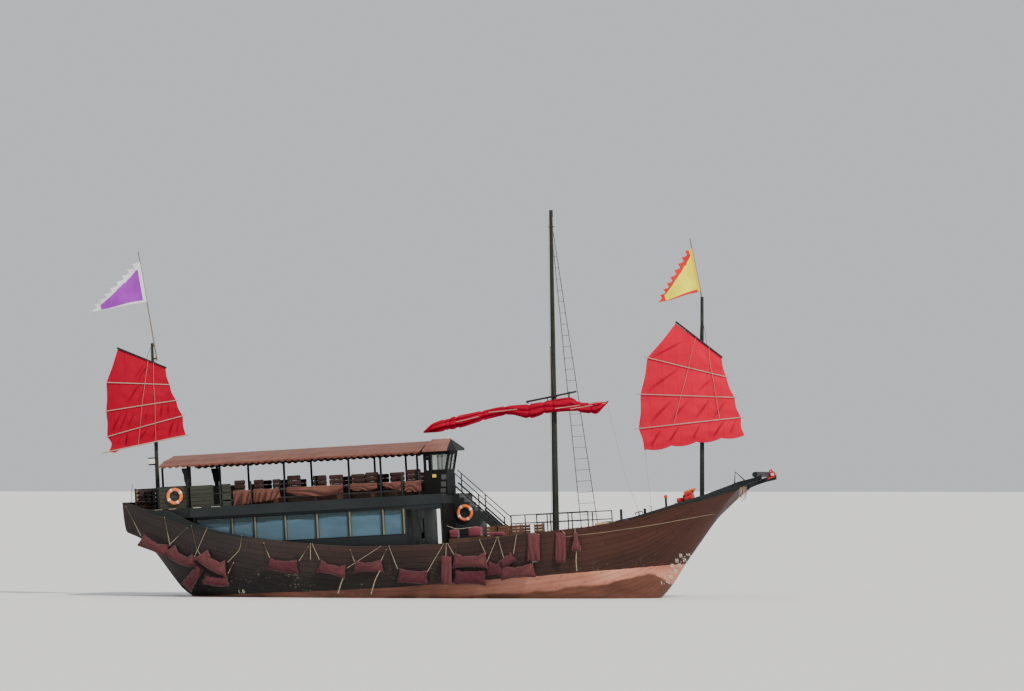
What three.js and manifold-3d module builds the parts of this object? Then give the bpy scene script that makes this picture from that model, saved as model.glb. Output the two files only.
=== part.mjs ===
// A three-masted wooden junk, rebuilt as a motor passenger boat, afloat and trimmed a little by the stern.
// Millimetres, +X to the bow, +Y to port, +Z up. The origin is on the centreline at the water surface.
// Everything is drawn in the boat's own frame, with level decks, and the whole group is turned by the trim.
import * as THREE from "three";
import { mergeVertices } from "three/addons/utils/BufferGeometryUtils.js";
import Module from "manifold-3d";

const wasm = await Module();
wasm.setup();

// Driving dimensions
const TRIM = THREE.MathUtils.degToRad(3.2); // bow up, about the origin
const GAP = 0.5; // between pieces that rest on each other
const PLANK = 110; // thickness of a bulwark
const SECTION_POWER = 2.6; // roundness of the bilge

const MAIN_DECK = 1550; // floor of the saloon and of the forward well
const BOW_DECK = 2450;
const BOW_HEAD = 3350; // little platform between the bow wings
const AFT_TOP = 3950; // closed part of the hull below the upper deck
const POOP_DECK = 4350;
const DECK_LOW = 3980; // underside of the upper deck's edge beam
const DECK_TOP = 4400;

const SALOON_AFT = -10400;
const SALOON_FRONT = -950;
const HOUSE_FRONT = 660; // front wall under the upper deck's forward edge
const WELL_FRONT = 8000;
const HEAD_AFT = 11400;
const POOP_FRONT = -12400;

// Hull stations. Columns: x, keel height, half width of the flat bottom, sheer height, half breadth at the sheer,
// fullness of the section (1 is round, 0 is a straight V)
const STATIONS = [
  [-13500, 3520, 1800, 4800, 2400, 0.75],
  [-13000, 3180, 1200, 4640, 2450, 0.75],
  [-12500, 2560, 700, 4430, 2520, 0.75],
  [-12200, 2080, 450, 4390, 2570, 0.78],
  [-11750, 1350, 250, 4330, 2640, 0.8],
  [-11400, 870, 180, 4280, 2700, 0.82],
  [-10900, 520, 150, 4050, 2770, 0.84],
  [-10300, 330, 150, 3720, 2850, 0.86],
  [-9500, 120, 150, 3430, 2950, 0.88],
  [-8500, -220, 150, 3170, 3060, 0.9],
  [-7000, -650, 150, 2870, 3180, 0.93],
  [-5000, -930, 150, 2560, 3290, 0.95],
  [-2500, -1080, 150, 2320, 3370, 0.96],
  [1000, -1120, 150, 2270, 3400, 0.96],
  [2500, -1110, 150, 2370, 3370, 0.96],
  [4000, -1100, 150, 2490, 3330, 0.94],
  [6500, -1030, 150, 2640, 3100, 0.85],
  [8000, -920, 100, 2800, 2830, 0.62],
  [8700, -780, 60, 2900, 2660, 0.52],
  [9200, -520, 50, 3010, 2530, 0.45],
  [9650, -90, 50, 3110, 2400, 0.4],
  [10390, 910, 50, 3290, 2190, 0.33],
  [11100, 1800, 50, 3460, 1990, 0.28],
  [11780, 2650, 60, 3620, 1810, 0.3],
  [12250, 3150, 600, 3735, 1680, 0.3],
  [12700, 3590, 1050, 3845, 1560, 0.4],
  [13050, 3880, 1380, 3920, 1470, 0.5],
];

// Colours of the finishes: name, colour, roughness, metalness
const FINISHES = {
  hullWood: [0x3a1f18, 0.55, 0],
  bottomPaint: [0xc47a68, 0.7, 0],
  darkGreen: [0x161d1a, 0.45, 0],
  deckWood: [0x6b4a33, 0.7, 0],
  sailCloth: [0xb3122e, 0.85, 0],
  sparBlack: [0x12100f, 0.5, 0],
  battenWood: [0xd9a7a0, 0.7, 0],
  awningCloth: [0x8a5148, 0.9, 0],
  cushionCloth: [0x6d3a34, 0.9, 0],
  glass: [0x8fa6b2, 0.08, 0],
  railMetal: [0x14181a, 0.4, 0.6],
  bronze: [0x8d6a35, 0.4, 1],
  buoyOrange: [0xe2572b, 0.5, 0],
  purpleCloth: [0x6a2fa0, 0.85, 0],
  yellowCloth: [0xf2cf1f, 0.85, 0],
  rope: [0x9c8f6a, 0.9, 0],
  fenderCloth: [0x7d3440, 0.9, 0],
};

// Solids

// A closed geometry as a manifold solid
function solid(geometry) {
  const g = geometry.index ? geometry.toNonIndexed() : geometry.clone();
  g.deleteAttribute("normal");
  g.deleteAttribute("uv");
  const merged = mergeVertices(g, 1e-2);
  return new wasm.Manifold(
    new wasm.Mesh({
      numProp: 3,
      vertProperties: merged.attributes.position.array,
      triVerts: new Uint32Array(merged.index.array),
    }),
  );
}

const join = (...parts) => parts.flat().reduce((a, b) => a.add(b));
const cut = (body, ...tools) => tools.flat().reduce((a, b) => a.subtract(b), body);

// A box from its low and high corners
function box(x0, x1, y0, y1, z0, z1) {
  const g = new THREE.BoxGeometry(x1 - x0, y1 - y0, z1 - z0);
  return solid(g.translate((x0 + x1) / 2, (y0 + y1) / 2, (z0 + z1) / 2));
}

// A tapered round pole from p to q
function pole(p, q, r0, r1 = r0, sides = 8) {
  const a = new THREE.Vector3(...p);
  const b = new THREE.Vector3(...q);
  const along = b.clone().sub(a);
  const g = new THREE.CylinderGeometry(r1, r0, along.length(), sides);
  const turn = new THREE.Quaternion().setFromUnitVectors(
    new THREE.Vector3(0, 1, 0),
    along.clone().normalize(),
  );
  g.applyQuaternion(turn);
  return solid(g.translate(...a.add(b).multiplyScalar(0.5)));
}

// A round rod bent through a list of points that lie nearly in a plane across up
function rod(points, r, sides = 5, up = [0, 1, 0]) {
  const at = points.map((p) => new THREE.Vector3(...p));
  const rings = at.map((p, i) => {
    const t = at[Math.min(i + 1, at.length - 1)].clone().sub(at[Math.max(i - 1, 0)]).normalize();
    const a = new THREE.Vector3(...up).cross(t).normalize();
    const b = t.clone().cross(a);
    return Array.from({ length: sides }, (_, k) => {
      const w = (2 * Math.PI * k) / sides;
      return p
        .clone()
        .addScaledVector(a, r * Math.cos(w))
        .addScaledVector(b, r * Math.sin(w))
        .toArray();
    });
  });
  return loft(rings);
}

// An outline in the x-z plane, run from y0 to y1; sideways(x) shifts it in plan
function sidePrism(outline, y0, y1, sideways = () => 0) {
  const shape = new THREE.Shape(outline.map(([x, z]) => new THREE.Vector2(x, z)));
  const g = new THREE.ExtrudeGeometry(shape, { depth: y1 - y0, bevelEnabled: false });
  const p = g.attributes.position;
  for (let i = 0; i < p.count; i++) {
    const x = p.getX(i);
    const z = p.getY(i);
    p.setXYZ(i, x, y1 - p.getZ(i) + sideways(x), z);
  }
  return solid(g);
}

// An outline in the y-z plane, run along x from aft(y) to fore(y)
function longPrism(outline, aft, fore) {
  const shape = new THREE.Shape(outline.map(([y, z]) => new THREE.Vector2(y, z)));
  const g = new THREE.ExtrudeGeometry(shape, { depth: 1, bevelEnabled: false });
  const p = g.attributes.position;
  for (let i = 0; i < p.count; i++) {
    const y = p.getX(i);
    p.setXYZ(i, THREE.MathUtils.lerp(aft(y), fore(y), p.getZ(i)), y, p.getY(i));
  }
  return solid(g);
}

// An outline in plan, from z0 to z1
function planPrism(outline, z0, z1) {
  const shape = new THREE.Shape(outline.map(([x, y]) => new THREE.Vector2(x, y)));
  const g = new THREE.ExtrudeGeometry(shape, { depth: z1 - z0, bevelEnabled: false });
  return solid(g.translate(0, 0, z0));
}

// Rings of equal point count, skinned in order and closed by a fan at each end
function loft(rings) {
  const n = rings[0].length;
  const index = [];
  for (let k = 0; k + 1 < rings.length; k++)
    for (let i = 0; i < n; i++) {
      const a = k * n + i;
      const b = k * n + ((i + 1) % n);
      index.push(a, b, b + n, a, b + n, a + n);
    }
  const last = (rings.length - 1) * n;
  for (let i = 1; i + 1 < n; i++) {
    index.push(0, i + 1, i);
    index.push(last, last + i, last + i + 1);
  }
  const g = new THREE.BufferGeometry();
  g.setAttribute("position", new THREE.Float32BufferAttribute(rings.flat(2), 3));
  g.setIndex(index);
  const made = solid(g);
  return made.volume() < 0 ? loft(rings.map((ring) => ring.slice().reverse())) : made;
}

// A thin curved sheet: rows of points, thickened to both sides along y, its two faces split along the same diagonals
function sheet(rows, thickness, flip = false) {
  const half = thickness / 2;
  const n = rows[0].length;
  const far = rows.length * n;
  const points = [-half, half].flatMap((out) => rows.flatMap((row) => row.map(([x, y, z]) => [x, y + out, z])));
  const index = [];
  const quad = (a, b, c, d) => (flip ? index.push(a, c, b, a, d, c) : index.push(a, b, c, a, c, d));
  for (let k = 0; k + 1 < rows.length; k++) {
    for (let i = 0; i + 1 < n; i++) {
      const a = k * n + i;
      quad(a, a + 1, a + 1 + n, a + n);
      quad(far + a, far + a + n, far + a + 1 + n, far + a + 1);
    }
    const [first, last] = [k * n, k * n + n - 1];
    quad(first, first + n, far + first + n, far + first);
    quad(last + n, last, far + last, far + last + n);
  }
  for (let i = 0; i + 1 < n; i++) {
    const low = (rows.length - 1) * n + i;
    quad(i + 1, i, far + i, far + i + 1);
    quad(low, low + 1, far + low + 1, far + low);
  }
  const g = new THREE.BufferGeometry();
  g.setAttribute("position", new THREE.Float32BufferAttribute(points.flat(), 3));
  g.setIndex(index);
  const made = solid(g);
  return made.volume() < 0 && !flip ? sheet(rows, thickness, true) : made;
}

// A closed ring of round section about the axis through centre
function ring(centre, axis, radius, tube, around = 24, section = 8) {
  const g = new THREE.TorusGeometry(radius, tube, section, around);
  const turn = new THREE.Quaternion().setFromUnitVectors(
    new THREE.Vector3(0, 0, 1),
    new THREE.Vector3(...axis).normalize(),
  );
  g.applyQuaternion(turn);
  return solid(g.translate(...centre));
}

// Where a straight line from p to q stands at height z
function atHeight(p, q, z) {
  const t = (z - p[2]) / (q[2] - p[2]);
  return [p[0] + t * (q[0] - p[0]), p[1] + t * (q[1] - p[1]), z];
}

// Group and meshes
const group = new THREE.Group();
group.rotation.y = -TRIM;

function piece(name, body, finish) {
  const m = body.getMesh();
  const g = new THREE.BufferGeometry();
  g.setAttribute("position", new THREE.BufferAttribute(new Float32Array(m.vertProperties), 3));
  g.setIndex(new THREE.BufferAttribute(new Uint32Array(m.triVerts), 1));
  const flat = g.toNonIndexed();
  flat.computeVertexNormals();
  const [color, roughness, metalness] = FINISHES[finish];
  const material = new THREE.MeshStandardMaterial({ color, roughness, metalness });
  const mesh = new THREE.Mesh(flat, material);
  mesh.name = name;
  group.add(mesh);
}

const SIDES = [
  ["starboard", -1],
  ["port", 1],
];

// Hull

// Value of a station column at x, straight between stations
function station(x, column) {
  const next = STATIONS.findIndex((s) => s[0] > x);
  const i = next < 0 ? STATIONS.length - 2 : Math.max(0, next - 1);
  const [a, b] = [STATIONS[i], STATIONS[i + 1]];
  return a[column] + ((b[column] - a[column]) * (x - a[0])) / (b[0] - a[0]);
}
const sheerAt = (x) => station(x, 3);
const beamAt = (x) => station(x, 4);

// Points of one section from the port sheer down to the keel and up to the starboard sheer
function sectionRing([x, keel, flat, sheer, beam, fullness], inset, rise) {
  const low = keel + inset;
  const points = [];
  const steps = 8;
  for (let j = 0; j <= steps; j++) {
    const t = Math.pow(j / steps, 2.2);
    const round = Math.pow(1 - Math.pow(1 - t, SECTION_POWER), 1 / SECTION_POWER);
    const out = flat + (beam - flat) * (fullness * round + (1 - fullness) * t);
    points.push([Math.max(out - inset, 5), low + (sheer - low) * t]);
  }
  if (rise) points.push([points[steps][0], sheer + rise]);
  const down = points.slice().reverse();
  return [...down.map(([y, z]) => [x, y, z]), ...points.map(([y, z]) => [x, -y, z])];
}

const outerHull = loft(STATIONS.map((s) => sectionRing(s, 0, 0)));
const INNER_ENDS = [STATIONS[0][0] + PLANK, 12950];
const innerHull = loft(
  STATIONS.map(([x, ...rest]) => [Math.min(Math.max(x, INNER_ENDS[0]), INNER_ENDS[1]), ...rest])
    .filter(([, keel, , sheer]) => sheer - keel > 3 * PLANK)
    .map((s) => sectionRing(s, PLANK, 200)),
);
const FAR = 20000;
const above = (x0, x1, z) => box(x0, x1, -FAR, FAR, z, FAR);

// Rudder stock and propeller shaft, in the boat's frame
const RUDDER_X = -10350;
const RUDDER_TOP = 620; // end of the stock inside its tube
const STOCK_R = 70;
const SHAFT_Z = -620;
const SHAFT_R = 40;
const DEADWOOD_AFT = -9200;
const PROP_X = -9560;
const RUNNING_GAP = 0.2;
const KEEL_LOW = -1420;
const SHOE_TOP = -1270;

const stockBore = pole(
  [RUDDER_X, 0, -FAR / 10],
  [RUDDER_X, 0, RUDDER_TOP + 30],
  (STOCK_R + RUNNING_GAP) / Math.cos(Math.PI / 24),
  undefined,
  24,
);
// Hatch in the forward well, with a flat cover
const HATCH = { x: [5600, 6700], y: 420, top: MAIN_DECK + 180 };
piece(
  "hull",
  join(
    cut(
      outerHull,
      above(SALOON_AFT, WELL_FRONT, MAIN_DECK),
      above(WELL_FRONT - 1, HEAD_AFT, BOW_DECK),
      above(HEAD_AFT - 1, FAR, BOW_HEAD),
      above(POOP_FRONT, SALOON_AFT + 1, AFT_TOP),
      above(-FAR, POOP_FRONT + 1, POOP_DECK),
      stockBore,
    ),
    box(...HATCH.x, -HATCH.y, HATCH.y, MAIN_DECK - 50, HATCH.top),
  ),
  "hullWood",
);

// Keel with its deadwood, and the shoe that carries the rudder's foot
const keelOutline = [
  [8600, -860],
  [8450, -1180],
  [7900, KEEL_LOW],
  [-10600, KEEL_LOW],
  [-10600, SHOE_TOP],
  [DEADWOOD_AFT, SHOE_TOP],
  [DEADWOOD_AFT, 400],
];
const KEEL_HALF = 110;
const hullBelow = loft(
  STATIONS.map(([x, keel, flat, ...rest]) => sectionRing([x, keel - GAP, flat, ...rest], 0, 0)),
);
const shaftBore = pole(
  [DEADWOOD_AFT - 10, 0, SHAFT_Z],
  [DEADWOOD_AFT + 260, 0, SHAFT_Z],
  (SHAFT_R + RUNNING_GAP) / Math.cos(Math.PI / 24),
  undefined,
  24,
);
const footBore = pole(
  [RUDDER_X, 0, SHOE_TOP - 60],
  [RUDDER_X, 0, SHOE_TOP + 10],
  (STOCK_R + RUNNING_GAP) / Math.cos(Math.PI / 24),
  undefined,
  24,
);
piece(
  "keel",
  cut(sidePrism(keelOutline, -KEEL_HALF, KEEL_HALF), hullBelow, shaftBore, footBore),
  "bottomPaint",
);

// Rudder: a flat blade on a round stock, its foot in the shoe
const BLADE_LOW = SHOE_TOP + 12;
const rudderBlade = sidePrism(
  [
    [RUDDER_X + 160, BLADE_LOW + 60],
    [RUDDER_X + 110, 150],
    [RUDDER_X - 820, 330],
    [RUDDER_X - 1050, 200],
    [RUDDER_X - 1000, BLADE_LOW],
  ],
  -45,
  45,
);
piece(
  "rudder",
  join(
    rudderBlade,
    pole([RUDDER_X, 0, SHOE_TOP - 55], [RUDDER_X, 0, RUDDER_TOP], STOCK_R, STOCK_R, 24),
  ),
  "bottomPaint",
);

// Propeller: hub, three blades and the tail of its shaft
const BLADE_R = 480;
const hub = solid(
  new THREE.LatheGeometry(
    [
      [0, -190],
      [70, -170],
      [110, -60],
      [115, 90],
      [90, 130],
      [0, 130],
    ].map(([r, z]) => new THREE.Vector2(r, z)),
    16,
  )
    .rotateZ(-Math.PI / 2)
    .translate(PROP_X, 0, SHAFT_Z),
);
function propBlade(turn) {
  const sections = [
    [60, 120, 55], // radius, chord, pitch angle
    [200, 250, 42],
    [360, 300, 30],
    [BLADE_R, 150, 24],
  ];
  const g = sections.map(([r, chord, pitch]) => {
    const a = THREE.MathUtils.degToRad(pitch);
    const thick = 14;
    return [
      [-0.5, 0],
      [0, 1],
      [0.5, 0],
      [0, -1],
    ].map(([c, t]) => {
      const along = c * chord;
      const out = t * thick;
      const x = along * Math.sin(a) + out * Math.cos(a);
      const s = along * Math.cos(a) - out * Math.sin(a);
      const v = new THREE.Vector3(x, s, r).applyAxisAngle(new THREE.Vector3(1, 0, 0), turn);
      return [PROP_X + v.x, v.y, SHAFT_Z + v.z];
    });
  });
  return loft(g);
}
piece(
  "propeller",
  join(
    hub,
    [0, 1, 2].map((k) => propBlade((k * 2 * Math.PI) / 3)),
    pole([PROP_X, 0, SHAFT_Z], [DEADWOOD_AFT + 250, 0, SHAFT_Z], SHAFT_R, SHAFT_R, 24),
  ),
  "bronze",
);

// Bulwarks

const skin = cut(outerHull, innerHull);
for (const [side, sign] of SIDES) {
  const y = sign > 0 ? [1, FAR] : [-FAR, -1];
  const region = join(
    box(SALOON_AFT + GAP, WELL_FRONT - GAP, ...y, MAIN_DECK + GAP, FAR),
    box(WELL_FRONT - 5, HEAD_AFT - GAP, ...y, BOW_DECK + GAP, FAR),
  );
  piece(`bulwark_${side}`, skin.intersect(region), "hullWood");
}
piece(
  "bow_bulwark",
  skin.intersect(box(HEAD_AFT, FAR, -FAR, FAR, BOW_HEAD + GAP, FAR)),
  "hullWood",
);
piece(
  "poop_bulwark",
  skin.intersect(
    join(
      box(-FAR, POOP_FRONT + 5, -FAR, FAR, POOP_DECK + GAP, FAR),
      box(POOP_FRONT + GAP, SALOON_AFT, -FAR, FAR, AFT_TOP + GAP, FAR),
    ),
  ),
  "hullWood",
);

// Bow wings: green wales that run on past the bow and curl up. Columns: x, outer y, low edge, high edge
const WING_TIP = [
  [13300, 1520, 4020, 4250],
  [13600, 1620, 4110, 4300],
  [13900, 1770, 4180, 4360],
  [14150, 1950, 4230, 4450],
];
const BAND = [
  [8000, 50],
  [8700, 70],
  [9200, 85],
  [9650, 100],
  [10390, 120],
  [11100, 135],
  [11780, 160],
  [12250, 195],
  [12700, 230],
  [13050, 280],
];
const WALE = 15; // how far the wale stands out of the planking
const wingRows = [
  ...BAND.map(([x, height]) => [x, beamAt(x) + WALE, sheerAt(x) + GAP, sheerAt(x) + height]),
  ...WING_TIP,
];
for (const [side, sign] of SIDES)
  piece(
    `bow_wing_${side}`,
    loft(
      wingRows.map(([x, y, low, high]) => [
        [x, sign * (y - PLANK), low],
        [x, sign * y, low],
        [x, sign * y, high],
        [x, sign * (y - PLANK), high],
      ]),
    ),
    "darkGreen",
  );

// Crossbeam on the wings
const BEAM_X = 13820;
const BEAM_R = 115;
const wingTop = THREE.MathUtils.mapLinear(BEAM_X, WING_TIP[1][0], WING_TIP[2][0], WING_TIP[1][3], WING_TIP[2][3]);
const wingSlope = Math.atan2(WING_TIP[2][3] - WING_TIP[1][3], WING_TIP[2][0] - WING_TIP[1][0]);
const beamZ = wingTop + (BEAM_R + GAP) / Math.cos(wingSlope);
// Twelve-sided timber with one flat on the sloping wings
const beamOutline = Array.from({ length: 12 }, (_, k) => {
  const a = wingSlope + ((k + 0.5) * Math.PI) / 6;
  const r = BEAM_R / Math.cos(Math.PI / 12);
  return [BEAM_X + r * Math.cos(a), beamZ + r * Math.sin(a)];
});
piece("bow_crossbeam", sidePrism(beamOutline, -1650, 1650), "darkGreen");

// Windlass on the raised bow deck: two cheeks and the drum that turns in them
const WINDLASS = { x: 9700, z: BOW_DECK + 420, cheekY: 620, axleR: 50, drumR: 130 };
const cheekHalf = 60;
const acrossBow = (y0, y1, r, sides = 16) =>
  pole([WINDLASS.x, y0, WINDLASS.z], [WINDLASS.x, y1, WINDLASS.z], r, r, sides);
for (const [side, sign] of SIDES)
  piece(
    `windlass_cheek_${side}`,
    cut(
      sidePrism(
        [
          [WINDLASS.x - 260, BOW_DECK + GAP],
          [WINDLASS.x + 260, BOW_DECK + GAP],
          [WINDLASS.x + 110, BOW_DECK + 600],
          [WINDLASS.x - 110, BOW_DECK + 600],
        ],
        sign * WINDLASS.cheekY - cheekHalf,
        sign * WINDLASS.cheekY + cheekHalf,
      ),
      acrossBow(-1000, 1000, (WINDLASS.axleR + RUNNING_GAP) / Math.cos(Math.PI / 24), 24),
    ),
    "darkGreen",
  );
const drumEnd = WINDLASS.cheekY - cheekHalf - 6;
const headStart = WINDLASS.cheekY + cheekHalf + 6;
piece(
  "windlass_drum",
  join(
    acrossBow(-880, 880, WINDLASS.axleR, 24),
    acrossBow(-drumEnd, drumEnd, WINDLASS.drumR),
    acrossBow(headStart, 880, 110),
    acrossBow(-880, -headStart, 110),
  ),
  "deckWood",
);

// Saloon

// The sides stand a little inboard, and close in towards the stern
const SIDE_Y = [2500, 2930]; // outer face at the aft and front ends
const sideY = (x) =>
  SIDE_Y[0] + ((SIDE_Y[1] - SIDE_Y[0]) * (x - SALOON_AFT)) / (SALOON_FRONT - SALOON_AFT);
const WALL = 60;
const SILL = 2800;
const HEAD = 3850;
const PANES = [
  [-10250, -8740],
  [-8600, -7730],
  [-7590, -6380],
  [-6240, -4980],
  [-4840, -3540],
  [-3400, -2070],
  [-1930, -1160],
];
const sideOutline = [
  [SALOON_AFT + GAP, 2600],
  [-9500, 2060],
  [-7500, MAIN_DECK + GAP],
  [SALOON_FRONT, MAIN_DECK + GAP],
  [SALOON_FRONT, DECK_LOW - GAP],
  [SALOON_AFT + GAP, DECK_LOW - GAP],
];
const rect = (x0, x1, z0, z1) => [
  [x0, z0],
  [x1, z0],
  [x1, z1],
  [x0, z1],
];
// A band between two distances from the sloping side face; inward is positive
function sideBand(sign, outline, from, to) {
  const [y0, y1] = sign > 0 ? [-to, -from] : [from, to];
  return sidePrism(outline, y0, y1, (x) => sign * sideY(x));
}
for (const [side, sign] of SIDES) {
  piece(
    `saloon_side_${side}`,
    cut(
      sideBand(sign, sideOutline, 0, WALL),
      PANES.map(([x0, x1]) => sideBand(sign, rect(x0, x1, SILL, HEAD), -50, WALL + 50)),
    ),
    "darkGreen",
  );
  const [first, last] = [PANES[0][0] - 40, PANES[PANES.length - 1][1] + 40];
  piece(
    `saloon_glass_${side}`,
    sideBand(sign, rect(first, last, SILL - 40, HEAD + 40), WALL + GAP, WALL + GAP + 8),
    "glass",
  );
}

// Front wall of the saloon with its doorway, and the hinged door
const DOOR_W = 880;
const DOOR_H = 2000;
const doorway = box(SALOON_FRONT - 500, SALOON_FRONT + 500, -DOOR_W / 2, DOOR_W / 2, 0, MAIN_DECK + DOOR_H);
const frontHalf = SIDE_Y[1] - WALL - 12;
const DOOR_CLEAR = 6;
const DOOR_T = 45;
// Lift-off hinges in front of a door's face: the door's knuckle stands on the frame's.
// out is +1 where the face looks forward, open is the side on which the door lies
const KNUCKLE_R = 10;
const KNUCKLE_H = 70;
function hinges(face, y, open, out, zs, ofDoor) {
  const x = face + out * KNUCKLE_R;
  const leafEnd = y + (ofDoor ? open : -open) * 40;
  return zs.map((z) => {
    const [z0, z1] = ofDoor ? [z + GAP, z + KNUCKLE_H] : [z - KNUCKLE_H, z];
    const [x0, x1] = [face - out * 8, x + out * 5];
    return join(
      pole([x, y, z0], [x, y, z1], KNUCKLE_R, KNUCKLE_R, 12),
      box(Math.min(x0, x1), Math.max(x0, x1), Math.min(y, leafEnd), Math.max(y, leafEnd), z0, z1),
    );
  });
}
const SALOON_HINGE = [SALOON_FRONT, -DOOR_W / 2 + 3, 1, 1, [MAIN_DECK + 350, MAIN_DECK + 1700]];
piece(
  "saloon_front",
  join(
    cut(
      box(SALOON_FRONT - WALL, SALOON_FRONT, -frontHalf, frontHalf, MAIN_DECK + GAP, DECK_LOW - GAP),
      doorway,
    ),
    hinges(...SALOON_HINGE, false),
  ),
  "darkGreen",
);
const doorPanel = (x0, y0, y1, z0, z1) =>
  cut(
    box(x0, x0 + DOOR_T, y0, y1, z0, z1),
    box(x0 - 10, x0 + DOOR_T + 10, y0 + 120, y1 - 120, z0 + 1000, z1 - 140),
  );
piece(
  "saloon_door",
  join(
    doorPanel(
      SALOON_FRONT - 50,
      -DOOR_W / 2 + DOOR_CLEAR,
      DOOR_W / 2 - DOOR_CLEAR,
      MAIN_DECK + DOOR_CLEAR,
      MAIN_DECK + DOOR_H - DOOR_CLEAR,
    ),
    hinges(...SALOON_HINGE, true),
  ),
  "deckWood",
);

// Seats along both sides of the saloon, joined across its aft end
const SEAT_H = 430;
piece(
  "saloon_seats",
  join(
    box(-7200, -1500, -2480, -1980, MAIN_DECK + GAP, MAIN_DECK + SEAT_H),
    box(-7200, -1500, 1980, 2480, MAIN_DECK + GAP, MAIN_DECK + SEAT_H),
    box(-7700, -7150, -2300, 2300, MAIN_DECK + GAP, MAIN_DECK + SEAT_H),
  ),
  "cushionCloth",
);

// Upper deck: a flat slab with its edge beam, narrower over the stern
const deckHalf = [
  [POOP_FRONT + GAP, 2230],
  [SALOON_AFT, 2690],
  [SALOON_AFT, 2860],
  [SALOON_FRONT, 2960],
  [HOUSE_FRONT, 2960],
];
piece(
  "upper_deck",
  planPrism(
    [...deckHalf.map(([x, y]) => [x, -y]), ...deckHalf.map(([x, y]) => [x, y]).reverse()],
    DECK_LOW,
    DECK_TOP,
  ),
  "darkGreen",
);

// Front wall under the deck's forward edge, open at the port side
const FRONT_Y = 2900;
piece(
  "front_wall",
  cut(
    box(HOUSE_FRONT - WALL, HOUSE_FRONT, -FRONT_Y, FRONT_Y, MAIN_DECK + GAP, DECK_LOW - GAP),
    box(HOUSE_FRONT - 500, HOUSE_FRONT + 500, 1400, 2200, 0, MAIN_DECK + DOOR_H),
  ),
  "darkGreen",
);

// Stairs

const STAIR_Y = [-680, 680];
const RISERS = 14;
const RISE = (DECK_TOP - MAIN_DECK) / RISERS;
const GOING = 212;
const BOXED_STEPS = 4; // the flight is boxed in below as far as this tread
const LANDING = 220;
const stairTop = HOUSE_FRONT + GAP;
const stepX = (k) => stairTop + LANDING + k * GOING; // front edge of tread k
const boxed = [[stairTop, MAIN_DECK + GAP]];
boxed.push([stepX(BOXED_STEPS), MAIN_DECK + GAP]);
for (let k = BOXED_STEPS; k > 0; k--) {
  const z = DECK_TOP - k * RISE;
  boxed.push([stepX(k), z], [stepX(k - 1), z]);
}
boxed.push([stepX(0), DECK_TOP], [stairTop, DECK_TOP]);
const TREAD = 40;
const STRINGER = 45;
const openTreads = [];
for (let k = BOXED_STEPS + 1; k < RISERS; k++) {
  const z = DECK_TOP - k * RISE;
  openTreads.push(box(stepX(k - 1) - 15, stepX(k), STAIR_Y[0] + 5, STAIR_Y[1] - 5, z - TREAD, z));
}
const lineZ = (x) => DECK_TOP - ((x - stepX(0)) * RISE) / GOING; // through the nosings
const stairFoot = stepX(RISERS - 1);
const stringerTop = stepX(BOXED_STEPS) - 60;
const stringerOutline = [
  [stringerTop, lineZ(stringerTop) + 60],
  [stringerTop, lineZ(stringerTop) - 260],
  [stairFoot - 120, MAIN_DECK + GAP],
  [stairFoot + 40, MAIN_DECK + GAP],
  [stairFoot + 40, lineZ(stairFoot) + 20],
];
// Handrails: top rail, middle rail and three posts on each side
const RAIL_R = 24;
const RAIL_START = [570, 5400];
const RAIL_END = 2830;
const railZ = (x) => RAIL_START[1] - ((x - RAIL_START[0]) * RISE) / GOING;
const MID_DROP = 540;
function stairRail(y) {
  const posts = [720, 1720, 2790];
  const first = RAIL_START[0];
  return join(
    pole([first, y, railZ(first)], [RAIL_END, y, railZ(RAIL_END)], RAIL_R, RAIL_R, 6),
    pole([first, y, railZ(first) - MID_DROP], [RAIL_END, y, railZ(RAIL_END) - MID_DROP], 40, 40, 6),
    posts.map((x) => pole([x, y, Math.min(DECK_TOP, lineZ(x)) - 120], [x, y, railZ(x)], 28, 28, 6)),
  );
}
piece(
  "stairs",
  join(
    sidePrism(boxed, ...STAIR_Y),
    openTreads,
    STAIR_Y.map((y, i) =>
      i === 0
        ? sidePrism(stringerOutline, y, y + STRINGER)
        : sidePrism(stringerOutline, y - STRINGER, y),
    ),
    stairRail(STAIR_Y[0] + STRINGER / 2),
    stairRail(STAIR_Y[1] - STRINGER / 2),
  ),
  "railMetal",
);

// Railings

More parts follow.
